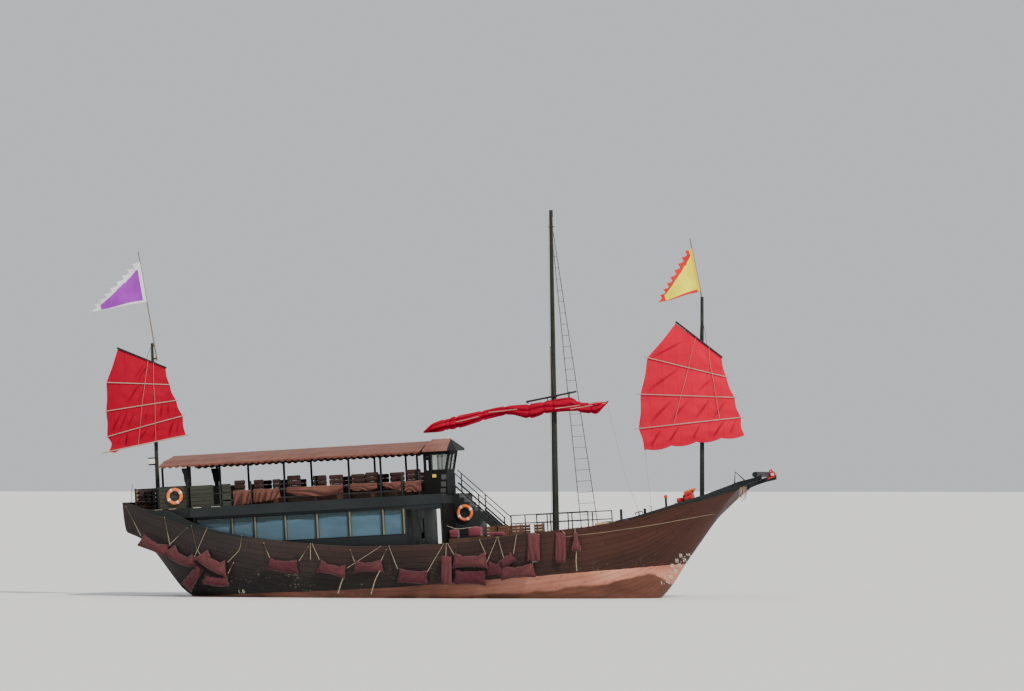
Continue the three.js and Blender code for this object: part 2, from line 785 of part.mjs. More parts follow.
// A straight railing along a side: posts, and bars whose upper faces are at the given heights
function railing(sign, y, postXs, foot, top, bars, half) {
  const [first, last] = [postXs[0], postXs[postXs.length - 1]];
  const at = (x0, x1, z0, z1) => box(x0, x1, sign * y - half, sign * y + half, z0, z1);
  return join(
    postXs.map((x) => at(x - half, x + half, foot, top)),
    bars.map((z) => at(first - half, last + half, z - 2 * half, z)),
  );
}
const RAIL_TOP = 5360;
const POST_TOP = 5400;
const RAIL_Y = 2505;
const RAIL_HALF = 28;
const AFT_RAIL_Y = 2300; // over the narrower stern
const POST_XS = [-11900, -10460, -9120, -7760, -6300, -4950, -3470, -2080, -1150, -420];
const BUOY_AFT = [-11170, RAIL_Y, 4930];
const BOARDS = [
  [-10430, -9430],
  [-9040, -8650],
];
const BOARD_HALF = 15;
const POOP_POST = [-12970, 2150];
for (const [side, sign] of SIDES) {
  const y = sign * RAIL_Y;
  const postXs = POST_XS.filter((x) => x > SALOON_AFT);
  const aft = POST_XS.filter((x) => x < SALOON_AFT);
  const board = (x0, x1, at) => box(x0, x1, at - BOARD_HALF, at + BOARD_HALF, DECK_TOP + 40, RAIL_TOP - 30);
  const slant = (a, b) => pole([...a, RAIL_TOP - 2 * RAIL_HALF], [...b, RAIL_TOP - 2 * RAIL_HALF], RAIL_HALF, RAIL_HALF, 4);
  const boards = BOARDS.map(([x0, x1]) => board(x0, x1, y));
  const [poopX, poopY] = [POOP_POST[0], sign * POOP_POST[1]];
  piece(
    `rail_${side}`,
    join(
      railing(sign, RAIL_Y, postXs, DECK_TOP + GAP, POST_TOP, [4990, 4650], RAIL_HALF),
      railing(sign, AFT_RAIL_Y, aft, DECK_TOP + GAP, RAIL_TOP, [RAIL_TOP], RAIL_HALF),
      board(aft[0], aft[1], sign * AFT_RAIL_Y),
      boards,
      box(BOARDS[0][0], postXs[0], y - BOARD_HALF, y + BOARD_HALF, DECK_TOP + 40, DECK_TOP + 90),
      slant([aft[1], sign * AFT_RAIL_Y], [BOARDS[0][0] + 50, y]),
      box(poopX - RAIL_HALF, poopX + RAIL_HALF, poopY - RAIL_HALF, poopY + RAIL_HALF, POOP_DECK + GAP, RAIL_TOP),
      slant([poopX, poopY], [aft[0], sign * AFT_RAIL_Y]),
    ),
    "railMetal",
  );
}
const FORE_POSTS = [3500, 4100, 5050, 5950, 6800];
for (const [side, sign] of SIDES) {
  const inside = 2640;
  piece(
    `foredeck_rail_${side}`,
    railing(sign, inside, FORE_POSTS, MAIN_DECK + GAP, 3330, [3330, 2980], 22),
    "railMetal",
  );
}

// Awning

const POST_Y = 2400;
const POST_HALF = 40;
const AWNING_POSTS = [-11700, -10530, -9120, -6300, -3470, -2080, -480];
const AFT_POST_Y = 2228; // the deck is narrower at the aft posts
const EAVE = [2900, 6240]; // y and z
const FOLD = [2000, 6450]; // where the cloth turns down over its stringers
const RIDGE_Z = 6700;
const CLOTH = 30;
const clothUnder = (y) =>
  (y < FOLD[0]
    ? THREE.MathUtils.mapLinear(y, 0, FOLD[0], RIDGE_Z, FOLD[1])
    : THREE.MathUtils.mapLinear(y, FOLD[0], EAVE[0] - CLOTH, FOLD[1], EAVE[1])) - CLOTH;
const beamTop = clothUnder(POST_Y + POST_HALF) - GAP;
const BEAM_Z = [beamTop - 80, beamTop];
const ridgeTop = clothUnder(40) - GAP;
const PLATE_HALF = 30; // of the long timber that the posts carry
const [postAft, postFore] = [AWNING_POSTS[0], AWNING_POSTS[AWNING_POSTS.length - 1]];
for (const [side, sign] of SIDES)
  piece(
    `awning_posts_${side}`,
    join(
      AWNING_POSTS.map((x) => {
        const y = sign * (x === postAft ? AFT_POST_Y : POST_Y);
        return box(x - POST_HALF, x + POST_HALF, y - POST_HALF, y + POST_HALF, DECK_TOP + GAP, BEAM_Z[1]);
      }),
      box(postAft, postFore, sign * POST_Y - PLATE_HALF, sign * POST_Y + PLATE_HALF, ...BEAM_Z),
      box(postAft - PLATE_HALF, postAft + PLATE_HALF, ...[AFT_POST_Y, POST_Y + PLATE_HALF].map((y) => sign * y).sort((a, b) => a - b), ...BEAM_Z),
    ),
    "darkGreen",
  );
// The beams across, with a king post on each that carries the ridge
piece(
  "awning_frame",
  join(
    AWNING_POSTS.flatMap((x) => {
      const half = x === postAft ? AFT_POST_Y - POST_HALF - GAP : POST_Y - POST_HALF - GAP;
      return [
        box(x - 30, x + 30, -half, half, ...BEAM_Z),
        box(x - 30, x + 30, -30, 30, BEAM_Z[0], ridgeTop),
      ];
    }),
    box(postAft, postFore, -40, 40, ridgeTop - 80, ridgeTop),
  ),
  "darkGreen",
);

// The awning cloth: a folded sheet with hanging edges, longer at its ridge than at its eaves
const VALANCE = 120;
const awningEnd = (eaveX, ridgeX) => (y) => THREE.MathUtils.lerp(ridgeX, eaveX, Math.abs(y) / EAVE[0]);
const awningOutline = [
  [-EAVE[0], EAVE[1] - VALANCE],
  [-EAVE[0] + CLOTH, EAVE[1] - VALANCE],
  [-EAVE[0] + CLOTH, EAVE[1] - CLOTH],
  [-FOLD[0], FOLD[1] - CLOTH],
  [0, RIDGE_Z - CLOTH],
  [FOLD[0], FOLD[1] - CLOTH],
  [EAVE[0] - CLOTH, EAVE[1] - CLOTH],
  [EAVE[0] - CLOTH, EAVE[1] - VALANCE],
  [EAVE[0], EAVE[1] - VALANCE],
  [EAVE[0], EAVE[1]],
  [...FOLD],
  [0, RIDGE_Z],
  [-FOLD[0], FOLD[1]],
  [-EAVE[0], EAVE[1]],
];
piece(
  "awning",
  longPrism(awningOutline, awningEnd(-11650, -11780), awningEnd(-240, -240)),
  "awningCloth",
);

// Wheelhouse on the starboard side of the upper deck's forward end

const WH = { x0: -250, x1: 740, lean: 200, y0: -2250, y1: -740, sill: 5270, top: 6200, wall: 50 };
const whFloor = DECK_TOP + GAP;
// Side outline moved inwards by d
const whOutline = (d, top = WH.top) => [
  [WH.x0 + d, whFloor],
  [WH.x1 - d, whFloor],
  [WH.x1 - d, WH.sill],
  [WH.x1 - d + (WH.lean * (top - WH.sill)) / (WH.top - WH.sill), top],
  [WH.x0 + d, top],
];
const whShell = (d) => sidePrism(whOutline(d), WH.y0 + d, WH.y1 - d);
const tall = (d) => {
  const o = whOutline(d, WH.top + 100);
  o[0][1] -= 100;
  o[1][1] -= 100;
  return sidePrism(o, WH.y0 + d, WH.y1 - d);
};
const WH_GLASS = [WH.sill + 150, WH.top - 130];
const leanAt = (z) => (WH.lean * (z - WH.sill)) / (WH.top - WH.sill);
const sideWindow = [
  [100, WH_GLASS[0]],
  [640 + leanAt(WH_GLASS[0]), WH_GLASS[0]],
  [640 + leanAt(WH_GLASS[1]), WH_GLASS[1]],
  [100, WH_GLASS[1]],
];
const aftWindow = rect(-180, 20, ...WH_GLASS);
const WH_DOOR = { y0: -2000, y1: -1200, top: 6000 };
const WH_HINGE = [WH.x0, WH_DOOR.y1 - 3, -1, -1, [DECK_TOP + 250, DECK_TOP + 1300]];
const whWalls = cut(
    whShell(0),
    tall(WH.wall),
    sidePrism(sideWindow, WH.y0 - 100, WH.y1 + 100),
    sidePrism(aftWindow, WH.y0 - 100, WH.y1 + 100),
    box(500, 1500, WH.y0 + 100, -1640, ...WH_GLASS),
    box(500, 1500, -1560, WH.y1 - 100, ...WH_GLASS),
    box(WH.x0 - 100, WH.x0 + 100, WH_DOOR.y0, WH_DOOR.y1, DECK_TOP - 10, WH_DOOR.top),
);
piece("wheelhouse", join(whWalls, hinges(...WH_HINGE, false)), "darkGreen");
piece(
  "wheelhouse_glass",
  cut(tall(WH.wall + GAP), tall(WH.wall + GAP + 6)).intersect(
    box(40, 1500, -FAR, 0, WH_GLASS[0] - 20, WH_GLASS[1] + 20),
  ),
  "glass",
);
piece(
  "wheelhouse_door",
  join(
    doorPanel(
      WH.x0 + 5,
      WH_DOOR.y0 + DOOR_CLEAR,
      WH_DOOR.y1 - DOOR_CLEAR,
      whFloor + DOOR_CLEAR,
      WH_DOOR.top - DOOR_CLEAR,
    ),
    hinges(...WH_HINGE, true),
  ),
  "darkGreen",
);

// Hipped roof with a flat underside, from just ahead of the awning
const ROOF = { x0: -235, x1: 1210, y0: -2420, y1: -600, edge: 100, ridge: [50, 830], ridgeY: -1600, ridgeHalf: 50, top: 6730 };
const roofBase = [
  [ROOF.x0, ROOF.y0],
  [ROOF.x1, ROOF.y0],
  [ROOF.x1, ROOF.y1],
  [ROOF.x0, ROOF.y1],
];
const roofLow = WH.top + GAP;
piece(
  "wheelhouse_roof",
  loft([
    roofBase.map(([x, y]) => [x, y, roofLow]),
    roofBase.map(([x, y]) => [x, y, roofLow + ROOF.edge]),
    rect(...ROOF.ridge, ROOF.ridgeY - ROOF.ridgeHalf, ROOF.ridgeY + ROOF.ridgeHalf).map(([x, y]) => [x, y, ROOF.top]),
  ]),
  "darkGreen",
);

// Helm console and steering wheel
const HELM = { x: 270, y: -1600, z: 5170, radius: 290 };
const SPINDLE_R = 30;
const spindle = (r, from, to, sides) => pole([from, HELM.y, HELM.z], [to, HELM.y, HELM.z], r, r, sides);
piece(
  "helm_console",
  cut(
    join(
      sidePrism(
        [
          [380, whFloor],
          [640, whFloor],
          [640, 5230],
          [540, 5250],
          [360, 5130],
        ],
        -2080,
        -1120,
      ),
      spindle(55, 320, 460, 16),
    ),
    spindle((SPINDLE_R + RUNNING_GAP) / Math.cos(Math.PI / 16), 200, 420, 16),
  ),
  "deckWood",
);
piece(
  "steering_wheel",
  join(
    ring([HELM.x, HELM.y, HELM.z], [1, 0, 0], HELM.radius, 20, 20, 5),
    spindle(55, HELM.x - 30, HELM.x + 30, 12),
    spindle(SPINDLE_R, HELM.x, 410, 16),
    [0, 1, 2, 3, 4, 5].map((k) => {
      const a = (k * Math.PI) / 3;
      const reach = HELM.radius + 70;
      return pole(
        [HELM.x, HELM.y, HELM.z],
        [HELM.x, HELM.y + reach * Math.cos(a), HELM.z + reach * Math.sin(a)],
        14,
        14,
        4,
      );
    }),
  ),
  "deckWood",
);

// Upper deck seats

const SEATS_X = [-8560, -900];
const BACKS_FRONT = -370;
for (const [side, sign] of SIDES) {
  const span = (y0, y1) => (sign > 0 ? [y0, y1] : [-y1, -y0]);
  piece(
    `seats_${side}`,
    box(...SEATS_X, ...span(1760, 2300), DECK_TOP + GAP, 4840),
    "cushionCloth",
  );
  piece(
    `seat_backs_${side}`,
    box(SEATS_X[0], BACKS_FRONT, ...span(2210, 2350), 4840 + GAP, 5460),
    "cushionCloth",
  );
}
piece(
  "stern_bench",
  join(
    box(-13170, -12700, -1500, 1500, POOP_DECK + GAP, 4800),
    box(-13170, -12970, -1500, 1500, POOP_DECK + GAP, 5350),
  ),
  "cushionCloth",
);

// Lifebuoys
const BUOY = { radius: 290, tube: 75 };
for (const [side, sign] of SIDES)
  piece(
    `lifebuoy_${side}`,
    ring(
      [BUOY_AFT[0], sign * (AFT_RAIL_Y + 15 + BUOY.tube + GAP), BUOY_AFT[2]],
      [0, 1, 0],
      BUOY.radius,
      BUOY.tube,
      20,
      8,
    ),
    "buoyOrange",
  );
piece(
  "lifebuoy_stairs",
  ring([1100, STAIR_Y[0] - BUOY.tube - GAP, 3540], [0, 1, 0], BUOY.radius, BUOY.tube, 20, 8),
  "buoyOrange",
);

// Masts: foot and head points on the centreline, radii, deck height
const MASTS = {
  main: { foot: [4820, 0, 1550], head: [5400, 0, 16210], r: [155, 85], deck: MAIN_DECK },
  fore: { foot: [11168, 0, 2450], head: [11710, 0, 12110], r: [105, 70], deck: BOW_DECK },
  mizzen: { foot: [-12571, 0, 4350], head: [-12480, 0, 11620], r: [100, 60], deck: POOP_DECK },
};
const FORE_POLE = [
  [11740, 0, 11800],
  [11330, 0, 14620],
];
const MIZZEN_POLE = [
  [-12290, 0, 10850],
  [-12880, 0, 15600],
];
function mast(m) {
  const low = atHeight(m.foot, m.head, m.deck - 200);
  return cut(pole(low, m.head, m.r[0], m.r[1], 12), box(-FAR, FAR, -FAR, FAR, -FAR, m.deck + GAP));
}
// Radius of a tapered pole through foot and head at height z, and a loop that turns on it
const radiusAt = ({ foot, head, r }, z) =>
  THREE.MathUtils.mapLinear(z, atHeight(foot, head, foot[2] - 200)[2], head[2], r[0], r[1]);
const LOOP_R = 22;
function mastLoop(m, z) {
  const lean = m.head.map((a, k) => a - m.foot[k]);
  const bore = (radiusAt(m, z - LOOP_R) + RUNNING_GAP) / Math.cos(Math.PI / 24);
  return ring(atHeight(m.foot, m.head, z), lean, bore + LOOP_R, LOOP_R, 24, 6);
}
piece("main_mast", mast(MASTS.main), "darkGreen");
piece("fore_mast", join(mast(MASTS.fore), pole(...FORE_POLE, 32, 22)), "darkGreen");
piece(
  "mizzen_mast",
  join(
    mast(MASTS.mizzen),
    pole(...MIZZEN_POLE, 32, 22),
    pole([-12290, 0, 10950], [-12500, 0, 10950], 40),
    pole([-12400, 0, 11500], [-12500, 0, 11500], 40),
  ),
  "darkGreen",
);

// Sails

// Rows of a sail from the yard down: [aft x, aft z, fore x, fore z]
const FORE_ROWS = [
  [10610, 11090, 12450, 9520],
  [9276, 9675, 12604, 8662],
  [8892, 8145, 12910, 7773],
  [8737, 6694, 13131, 6914],
  [8930, 5691, 13251, 6088],
];
const MIZZEN_ROWS = [
  [-13925, 11474, -11857, 10524],
  [-14524, 10034, -11715, 9772],
  [-14600, 8792, -11458, 9071],
  [-14616, 7685, -11196, 8391],
  [-14579, 7042, -11094, 7548],
];
const SAIL_Y = 300; // the cloth lies this far to starboard of its mast
const CANVAS = 10;
const BELLY = 160;

// Point of a sail at u (aft 0 to fore 1) and v (yard 0 to foot, counted in rows)
function sailPoint(rows, u, v, proud = 0) {
  const i = Math.min(rows.length - 2, Math.floor(v));
  const t = v - i;
  const row = rows[i].map((a, k) => THREE.MathUtils.lerp(a, rows[i + 1][k], t));
  const depth = v / (rows.length - 1);
  const belly = BELLY * Math.sin(Math.PI * u) * Math.sin(Math.PI * 0.9 * depth);
  return [
    THREE.MathUtils.lerp(row[0], row[2], u),
    -SAIL_Y - belly - proud,
    THREE.MathUtils.lerp(row[1], row[3], u),
  ];
}
const along = (n) => Array.from({ length: n + 1 }, (_, i) => i / n);
function sailCloth(rows, vTop) {
  const vs = [];
  const last = rows.length - 1;
  for (let i = 0; i <= 2 * last; i++) vs.push(i / 2);
  vs[0] = vTop;
  return sheet(
    vs.map((v) => along(8).map((u) => sailPoint(rows, u, v))),
    CANVAS,
  );
}
const BATTEN_R = 16;
const BOOM_R = 30;
const LINE_R = 9;
const proud = (r) => CANVAS / 2 + r * 0.951 + 1.2; // the rods have five sides
// Yard, battens and the lines that tie them together, with the loop that holds the yard to its mast.
// The battens run past the cloth's edges to aft and fore, and the boom, where there is one, to its own u
function sailSpars(rows, m, yardU, lines, [aft, fore], boom) {
  const last = rows.length - 1;
  const yardEnds = [-0.02, 1.02].map((u) => sailPoint(rows, u, 0));
  const battens = rows
    .map((_, v) => v)
    .filter((v) => v > 0 && (boom || v < last))
    .map((v) => {
      const r = v === last ? BOOM_R : BATTEN_R;
      return rod(
        [v === last ? boom : aft, ...along(8).slice(1, -1), fore].map((u) => sailPoint(rows, u, v, proud(r))),
        r,
      );
    });
  const drops = lines.map((us) =>
    rod(
      along(2 * (last - (boom ? 0 : 1))).map((_, k) => {
        const i = Math.min(us.length - 2, Math.floor(k / 2));
        return sailPoint(rows, THREE.MathUtils.lerp(us[i], us[i + 1], k / 2 - i), k / 2, proud(BATTEN_R));
      }),
      LINE_R,
      5,
    ),
  );
  const z = THREE.MathUtils.lerp(rows[0][1], rows[0][3], yardU);
  const hold = atHeight(m.foot, m.head, z);
  return join(
    pole(yardEnds[0], yardEnds[1], 45, 40),
    battens,
    drops,
    mastLoop(m, z),
    pole([hold[0], -radiusAt(m, z) - LOOP_R, z], [hold[0], -SAIL_Y, z], 18),
  );
}
piece("fore_sail", sailCloth(FORE_ROWS, 0.08), "sailCloth");
piece(
  "fore_spars",
  sailSpars(
    FORE_ROWS,
    MASTS.fore,
    0.54,
    [
      [0.44, 0.53, 0.44, 0.35, 0.24],
      [0.73, 0.83, 0.81, 0.8, 0.8],
    ],
    [-0.045, 1.03],
  ),
  "battenWood",
);
piece("mizzen_sail", sailCloth(MIZZEN_ROWS, 0.08), "sailCloth");
piece(
  "mizzen_spars",
  sailSpars(
    MIZZEN_ROWS,
    MASTS.mizzen,
    0.7,
    [
      [0.64, 0.625, 0.53, 0.45, 0.39],
      [0.755, 0.76, 0.715, 0.65, 0.62],
    ],
    [-0.02, 1.03],
    -0.09,
  ),
  "battenWood",
);

// The main sail, furled in a long bundle. Columns: x, low edge, high edge
const BUNDLE = [
  [-590, 7040, 7120],
  [-80, 7030, 7490],
  [960, 7160, 7710],
  [2050, 7400, 7860],
  [3200, 7600, 8010],
  [4050, 7390, 8040],
  [4900, 7570, 8130],
  [5850, 7590, 8200],
  [6400, 7500, 7950],
  [6950, 7420, 7940],
  [7330, 7720, 7940],
  [7520, 7900, 7950],
];
const MAIN_Y = 400;
const bundleTop = (low, high) => (low + high) / 2 + ((high - low) / 2) * Math.sin(THREE.MathUtils.degToRad(72));
piece(
  "main_sail",
  loft(
    BUNDLE.map(([x, low, high]) => {
      const half = (high - low) / 2;
      const wide = Math.min(half, 210);
      return along(10)
        .slice(0, 10)
        .map((u) => {
          const a = 2 * Math.PI * u;
          return [x, -MAIN_Y + wide * Math.cos(a), low + half + half * Math.sin(a)];
        });
    }),
  ),
  "sailCloth",
);
const MAIN_YARD = [
  [3950, -MAIN_Y, 8105],
  [6150, -MAIN_Y, 8420],
];
const yardAt = (x) => THREE.MathUtils.mapLinear(x, MAIN_YARD[0][0], MAIN_YARD[1][0], MAIN_YARD[0][2], MAIN_YARD[1][2]);
const MAIN_HOLD = atHeight(MASTS.main.foot, MASTS.main.head, 8270);
piece(
  "main_spars",
  join(
    pole(MAIN_YARD[0], MAIN_YARD[1], 45, 40),
    mastLoop(MASTS.main, MAIN_HOLD[2]),
    pole(
      [MAIN_HOLD[0], -radiusAt(MASTS.main, MAIN_HOLD[2]) - LOOP_R, MAIN_HOLD[2]],
      [MAIN_HOLD[0], -MAIN_Y, MAIN_HOLD[2]],
      18,
    ),
    BUNDLE.filter(([x]) => x > 4000 && x < 6200).map(([x, low, high]) =>
      box(x - 40, x, -MAIN_Y - 25, -MAIN_Y + 25, bundleTop(low, high) + GAP, yardAt(x)),
    ),
  ),
  "sparBlack",
);

// Flags on their poles. Columns: hoist top, hoist bottom, tip
function flag(top, bottom, tip, folds) {
  const rows = along(4).map((v) => {
    const hoist = top.map((a, k) => THREE.MathUtils.lerp(a, bottom[k], v));
    return along(6).map((u) => {
      const p = hoist.map((a, k) => THREE.MathUtils.lerp(a, tip[k], u * 0.97));
      p[1] += folds * Math.sin(u * Math.PI * 2);
      return p;
    });
  });
  return sheet(rows, FLAG_CLOTH);
}
const FLAG_POLE_R = [32, 22];
const FLAG_CLOTH = 8;
// Point beside a flagpole, with the cloth just clear of it
const beside = (line, z) => {
  const p = atHeight(...line, z);
  const r = THREE.MathUtils.mapLinear(z, line[0][2], line[1][2], ...FLAG_POLE_R);
  return [p[0], -(r * 0.97 + FLAG_CLOTH / 2 + GAP), p[2]]; // its pole has flats
};
piece(
  "mizzen_flag",
  flag(beside(MIZZEN_POLE, 15250), beside(MIZZEN_POLE, 13400), [-15127, -40, 13129], 60),
  "purpleCloth",
);
piece(
  "fore_flag",
  flag(beside(FORE_POLE, 14280), beside(FORE_POLE, 12350), [9815, -40, 11968], 50),
  "yellowCloth",
);

// Port shroud ladder: two shrouds from the masthead to the port rail, with rungs
const SHROUD_TOP = 15500;
const shroudFoot = (x) => [x, beamAt(x) - PLANK / 2, sheerAt(x) + 60];
const SHROUD_FEET = [5330, 6080].map(shroudFoot);
const shroudHead = atHeight(MASTS.main.foot, MASTS.main.head, SHROUD_TOP);
const RUNG_STEP = 480;
const shrouds = SHROUD_FEET.map((foot, i) => [[shroudHead[0] - 20 + i * 50, radiusAt(MASTS.main, SHROUD_TOP) + 22, SHROUD_TOP], foot]);
const rungs = [];
for (let z = 3200; z < 15400; z += RUNG_STEP)
  rungs.push(pole(atHeight(...shrouds[0].slice().reverse(), z), atHeight(...shrouds[1].slice().reverse(), z), 12, 12, 3));
piece(
  "shroud_port",
  join(
    shrouds.map(([a, b]) => pole(a, b, 16, 16, 4)),
    rungs,
    mastLoop(MASTS.main, SHROUD_TOP),
    SHROUD_FEET.map(([x, y]) => box(x - 30, x + 30, y - 30, y + 30, sheerAt(x + 30) + GAP, sheerAt(x) + 120)),
  ),
  "rope",
);

// Fenders: bags of cloth hung over the side from a line laid along each rail

// Half breadth of the hull at x and height z
function halfBreadth(x, z) {
  const next = STATIONS.findIndex((s) => s[0] > x);
  const i = next < 0 ? STATIONS.length - 2 : Math.max(0, next - 1);
  const u = (x - STATIONS[i][0]) / (STATIONS[i + 1][0] - STATIONS[i][0]);
  const [a, b] = [STATIONS[i], STATIONS[i + 1]].map((s) => sectionRing(s, 0, 0).slice(0, 9).reverse());
  const line = a.map((p, k) => p.map((v, c) => THREE.MathUtils.lerp(v, b[k][c], u)));
  for (let k = 0; k + 1 < line.length; k++)
    if (z < line[k + 1][2])
      return THREE.MathUtils.mapLinear(Math.max(z, line[k][2]), line[k][2], line[k + 1][2], line[k][1], line[k + 1][1]);
  return line[line.length - 1][1];
}
// Columns: aft x, z, middle x, z, fore x, z of a bag's axis, its height across the axis, thickness,
// how far it lies off the bags behind it, and the x on the rail where its aft and fore ropes are tied
const FENDERS = [
  [-12791, 3149, -12174, 2820, -11557, 2613, 470, 230, 0, -13344, -11598],
  [-11460, 2674, -10912, 2190, -10325, 2166, 470, 240, 0, -11560, -10500],
  [-10048, 1897, -10470, 1440, -10891, 1004, 470, 220, 0, -9673, -10386],
  [-9977, 2384, -9510, 1912, -8942, 1733, 556, 240, 60, -10350, -8134],
  [-9982, 1384, -9415, 1200, -8848, 1198, 427, 240, 60, -9710, -8170],
  [-7012, 1849, -6400, 1690, -5710, 1653, 513, 250, 0, -7152, -5100],
  [-4757, 1627, -4200, 1440, -3641, 1315, 470, 240, 0, -5009, -2040],
  [-3204, 1525, -2650, 1475, -2011, 1483, 449, 240, 0, -3360, -1750],
  [-1329, 1056, -700, 950, -82, 898, 556, 250, 0, -1669, 709],
  [825, 1702, 780, 1140, 740, 570, 427, 210, 0, 817, 817],
  [1132, 1551, 1800, 1480, 2507, 1479, 534, 250, 60, 884, 2253],
  [1094, 867, 1760, 800, 2424, 768, 598, 260, 0, 930, 2300],
  [2531, 1141, 2850, 1100, 3174, 1086, 534, 220, 0, 2990, 2990],
  [3138, 1214, 3400, 1420, 3675, 1606, 427, 230, 0, 3030, 3843],
  [3121, 921, 3800, 930, 4499, 975, 513, 240, 60, 3070, 4550],
  [4577, 2465, 4550, 1950, 4513, 1414, 513, 110, 0, 4590, 4590],
  [5720, 2440, 5680, 1900, 5634, 1333, 427, 110, 0, 5745, 5745],
  [6348, 2414, 6340, 2000, 6327, 1652, 385, 200, 0, 6300, 6300],
];
const RAIL_LINE_R = 9;
const TIE_R = 9;
const RAIL_LINE_X = [FENDERS[0][9], 6500];
const railLineAt = (x) => {
  const steep = Math.max(...[-100, 100].map((d) => Math.abs(sheerAt(x + d) - sheerAt(x)) / 100));
  return [x, beamAt(x) - 10, sheerAt(x) + (RAIL_LINE_R + 0.7) * Math.hypot(1, steep)];
};
// Section of a bag: how far out (0 to 1 of its thickness) and how far up (of its height), flat against the hull
const BAG_SECTION = [
  [0, 0.3],
  [0.5, 0.5],
  [1, 0.22],
  [1, -0.25],
  [0.5, -0.5],
  [0, -0.3],
];
// Columns: how far along the axis, share of the height, share of the thickness
const BAG_RINGS = [
  [0, 0.84, 0.4],
  [0.3, 1, 1],
  [0.7, 1, 1],
  [1, 0.84, 0.4],
];
function bagAxis([x0, z0, xm, zm, x1, z1], u) {
  // a smooth curve through the three points
  const at = (a, m, b) => a * (1 - u) * (1 - 2 * u) + 4 * m * u * (1 - u) + b * u * (2 * u - 1);
  const slope = (a, m, b) => a * (4 * u - 3) + m * (4 - 8 * u) + b * (4 * u - 1);
  const t = [slope(x0, xm, x1), slope(z0, zm, z1)];
  const long = Math.hypot(...t);
  return { x: at(x0, xm, x1), z: at(z0, zm, z1), side: [-t[1] / long, t[0] / long] };
}
// Where the inner face of a bag lies: between the hull beside it and the plumb line from the rail
function bagInner(x, z, height) {
  const beside = Math.max(...[-0.5, 0, 0.5].map((k) => halfBreadth(x, z + k * height)));
  return (beside + Math.max(beside, beamAt(x))) / 2 + 14;
}
for (const [side, sign] of SIDES) {
  const bags = FENDERS.map((f) => {
    const [height, thick, off] = f.slice(6, 9);
    return loft(
      BAG_RINGS.map(([u, tall, fat]) => {
        const c = bagAxis(f, u);
        const inner = bagInner(c.x, c.z, height) + off;
        return BAG_SECTION.map(([out, up]) => [
          c.x + c.side[0] * up * height * tall,
          sign * (inner + thick * (0.5 + (out - 0.5) * fat)),
          c.z + c.side[1] * up * height * tall,
        ]);
      }),
    );
  });
  const ties = FENDERS.flatMap((f) =>
    (f[9] === f[10] ? [0] : [0, 1]).map((end) => {
      const [height, thick, off] = f.slice(6, 9);
      const upright = Math.abs(f[4] - f[0]) < 300; // such a bag hangs from its head alone
      const c = bagAxis(f, upright ? 0 : end);
      const rail = railLineAt(f[9 + end]);
      return rod(
        [
          [rail[0], sign * rail[1], rail[2]],
          [rail[0], sign * (beamAt(rail[0]) + 18), rail[2]],
          [
            c.x + c.side[0] * height * (upright ? 0 : 0.3),
            sign * (bagInner(c.x, c.z, height) + off + thick / 2),
            c.z + (upright ? -40 : c.side[1] * height * 0.3),
          ],
        ],
        TIE_R,
        3,
        [1, 0, 0],
      );
    }),
  );
  const railLine = rod(
    [RAIL_LINE_X[0], ...STATIONS.map((s) => s[0]).filter((x) => x > RAIL_LINE_X[0] && x < RAIL_LINE_X[1]), RAIL_LINE_X[1]].map(
      (x) => {
        const [, y, z] = railLineAt(x);
        return [x, sign * y, z];
      },
    ),
    RAIL_LINE_R,
    4,
  );
  piece(`fenders_${side}`, join(railLine, bags, ties), "fenderCloth");
}

export default group;
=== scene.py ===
# A wooden three-masted junk refitted as a motor passenger boat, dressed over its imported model.
# Lengths are metres. Shapes are drawn in the boat's own frame, with level decks, +X to the bow and +Y to
# port, and turned bow-up by the trim as each piece is made.
import math
import bpy
import bmesh
import numpy as np
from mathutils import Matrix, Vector


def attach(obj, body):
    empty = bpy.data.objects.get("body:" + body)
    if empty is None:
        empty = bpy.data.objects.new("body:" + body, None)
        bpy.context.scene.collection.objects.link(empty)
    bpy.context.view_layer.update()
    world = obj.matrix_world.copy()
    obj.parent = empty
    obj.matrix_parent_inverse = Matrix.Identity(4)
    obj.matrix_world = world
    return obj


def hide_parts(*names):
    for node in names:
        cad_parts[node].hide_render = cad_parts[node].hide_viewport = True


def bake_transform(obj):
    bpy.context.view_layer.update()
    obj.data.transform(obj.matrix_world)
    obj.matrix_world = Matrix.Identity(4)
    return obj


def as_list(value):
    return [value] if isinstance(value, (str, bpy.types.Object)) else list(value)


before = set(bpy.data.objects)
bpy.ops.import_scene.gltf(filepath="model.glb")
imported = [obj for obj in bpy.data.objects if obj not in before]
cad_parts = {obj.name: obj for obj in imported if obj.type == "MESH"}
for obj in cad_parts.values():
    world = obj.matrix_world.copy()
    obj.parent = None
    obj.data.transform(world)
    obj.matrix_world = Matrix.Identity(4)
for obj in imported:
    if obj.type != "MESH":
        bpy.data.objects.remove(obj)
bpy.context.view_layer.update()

# Camera, floor and light
# A long lens 243 m off, 12 degrees ahead of the starboard beam and about at the height of the upper deck.
# The floor is the water plane, at the boat's own waterline, and the light is a high soft sun from the
# starboard bow.
lens = bpy.data.cameras.new("camera")
lens.lens, lens.sensor_width, lens.clip_start, lens.clip_end = 200, 36, 5, 4000
camera = bpy.data.objects.new("camera", lens)
bpy.context.scene.collection.objects.link(camera)
camera.location = (53.195, -237.122, 5.207)
AHEAD, RAISED = math.radians(12), math.atan(129.5 / 5688)
look = Vector((-math.sin(AHEAD) * math.cos(RAISED), math.cos(AHEAD) * math.cos(RAISED), math.sin(RAISED)))
camera.rotation_euler = look.to_track_quat("-Z", "Y").to_euler()
bpy.context.scene.camera = camera


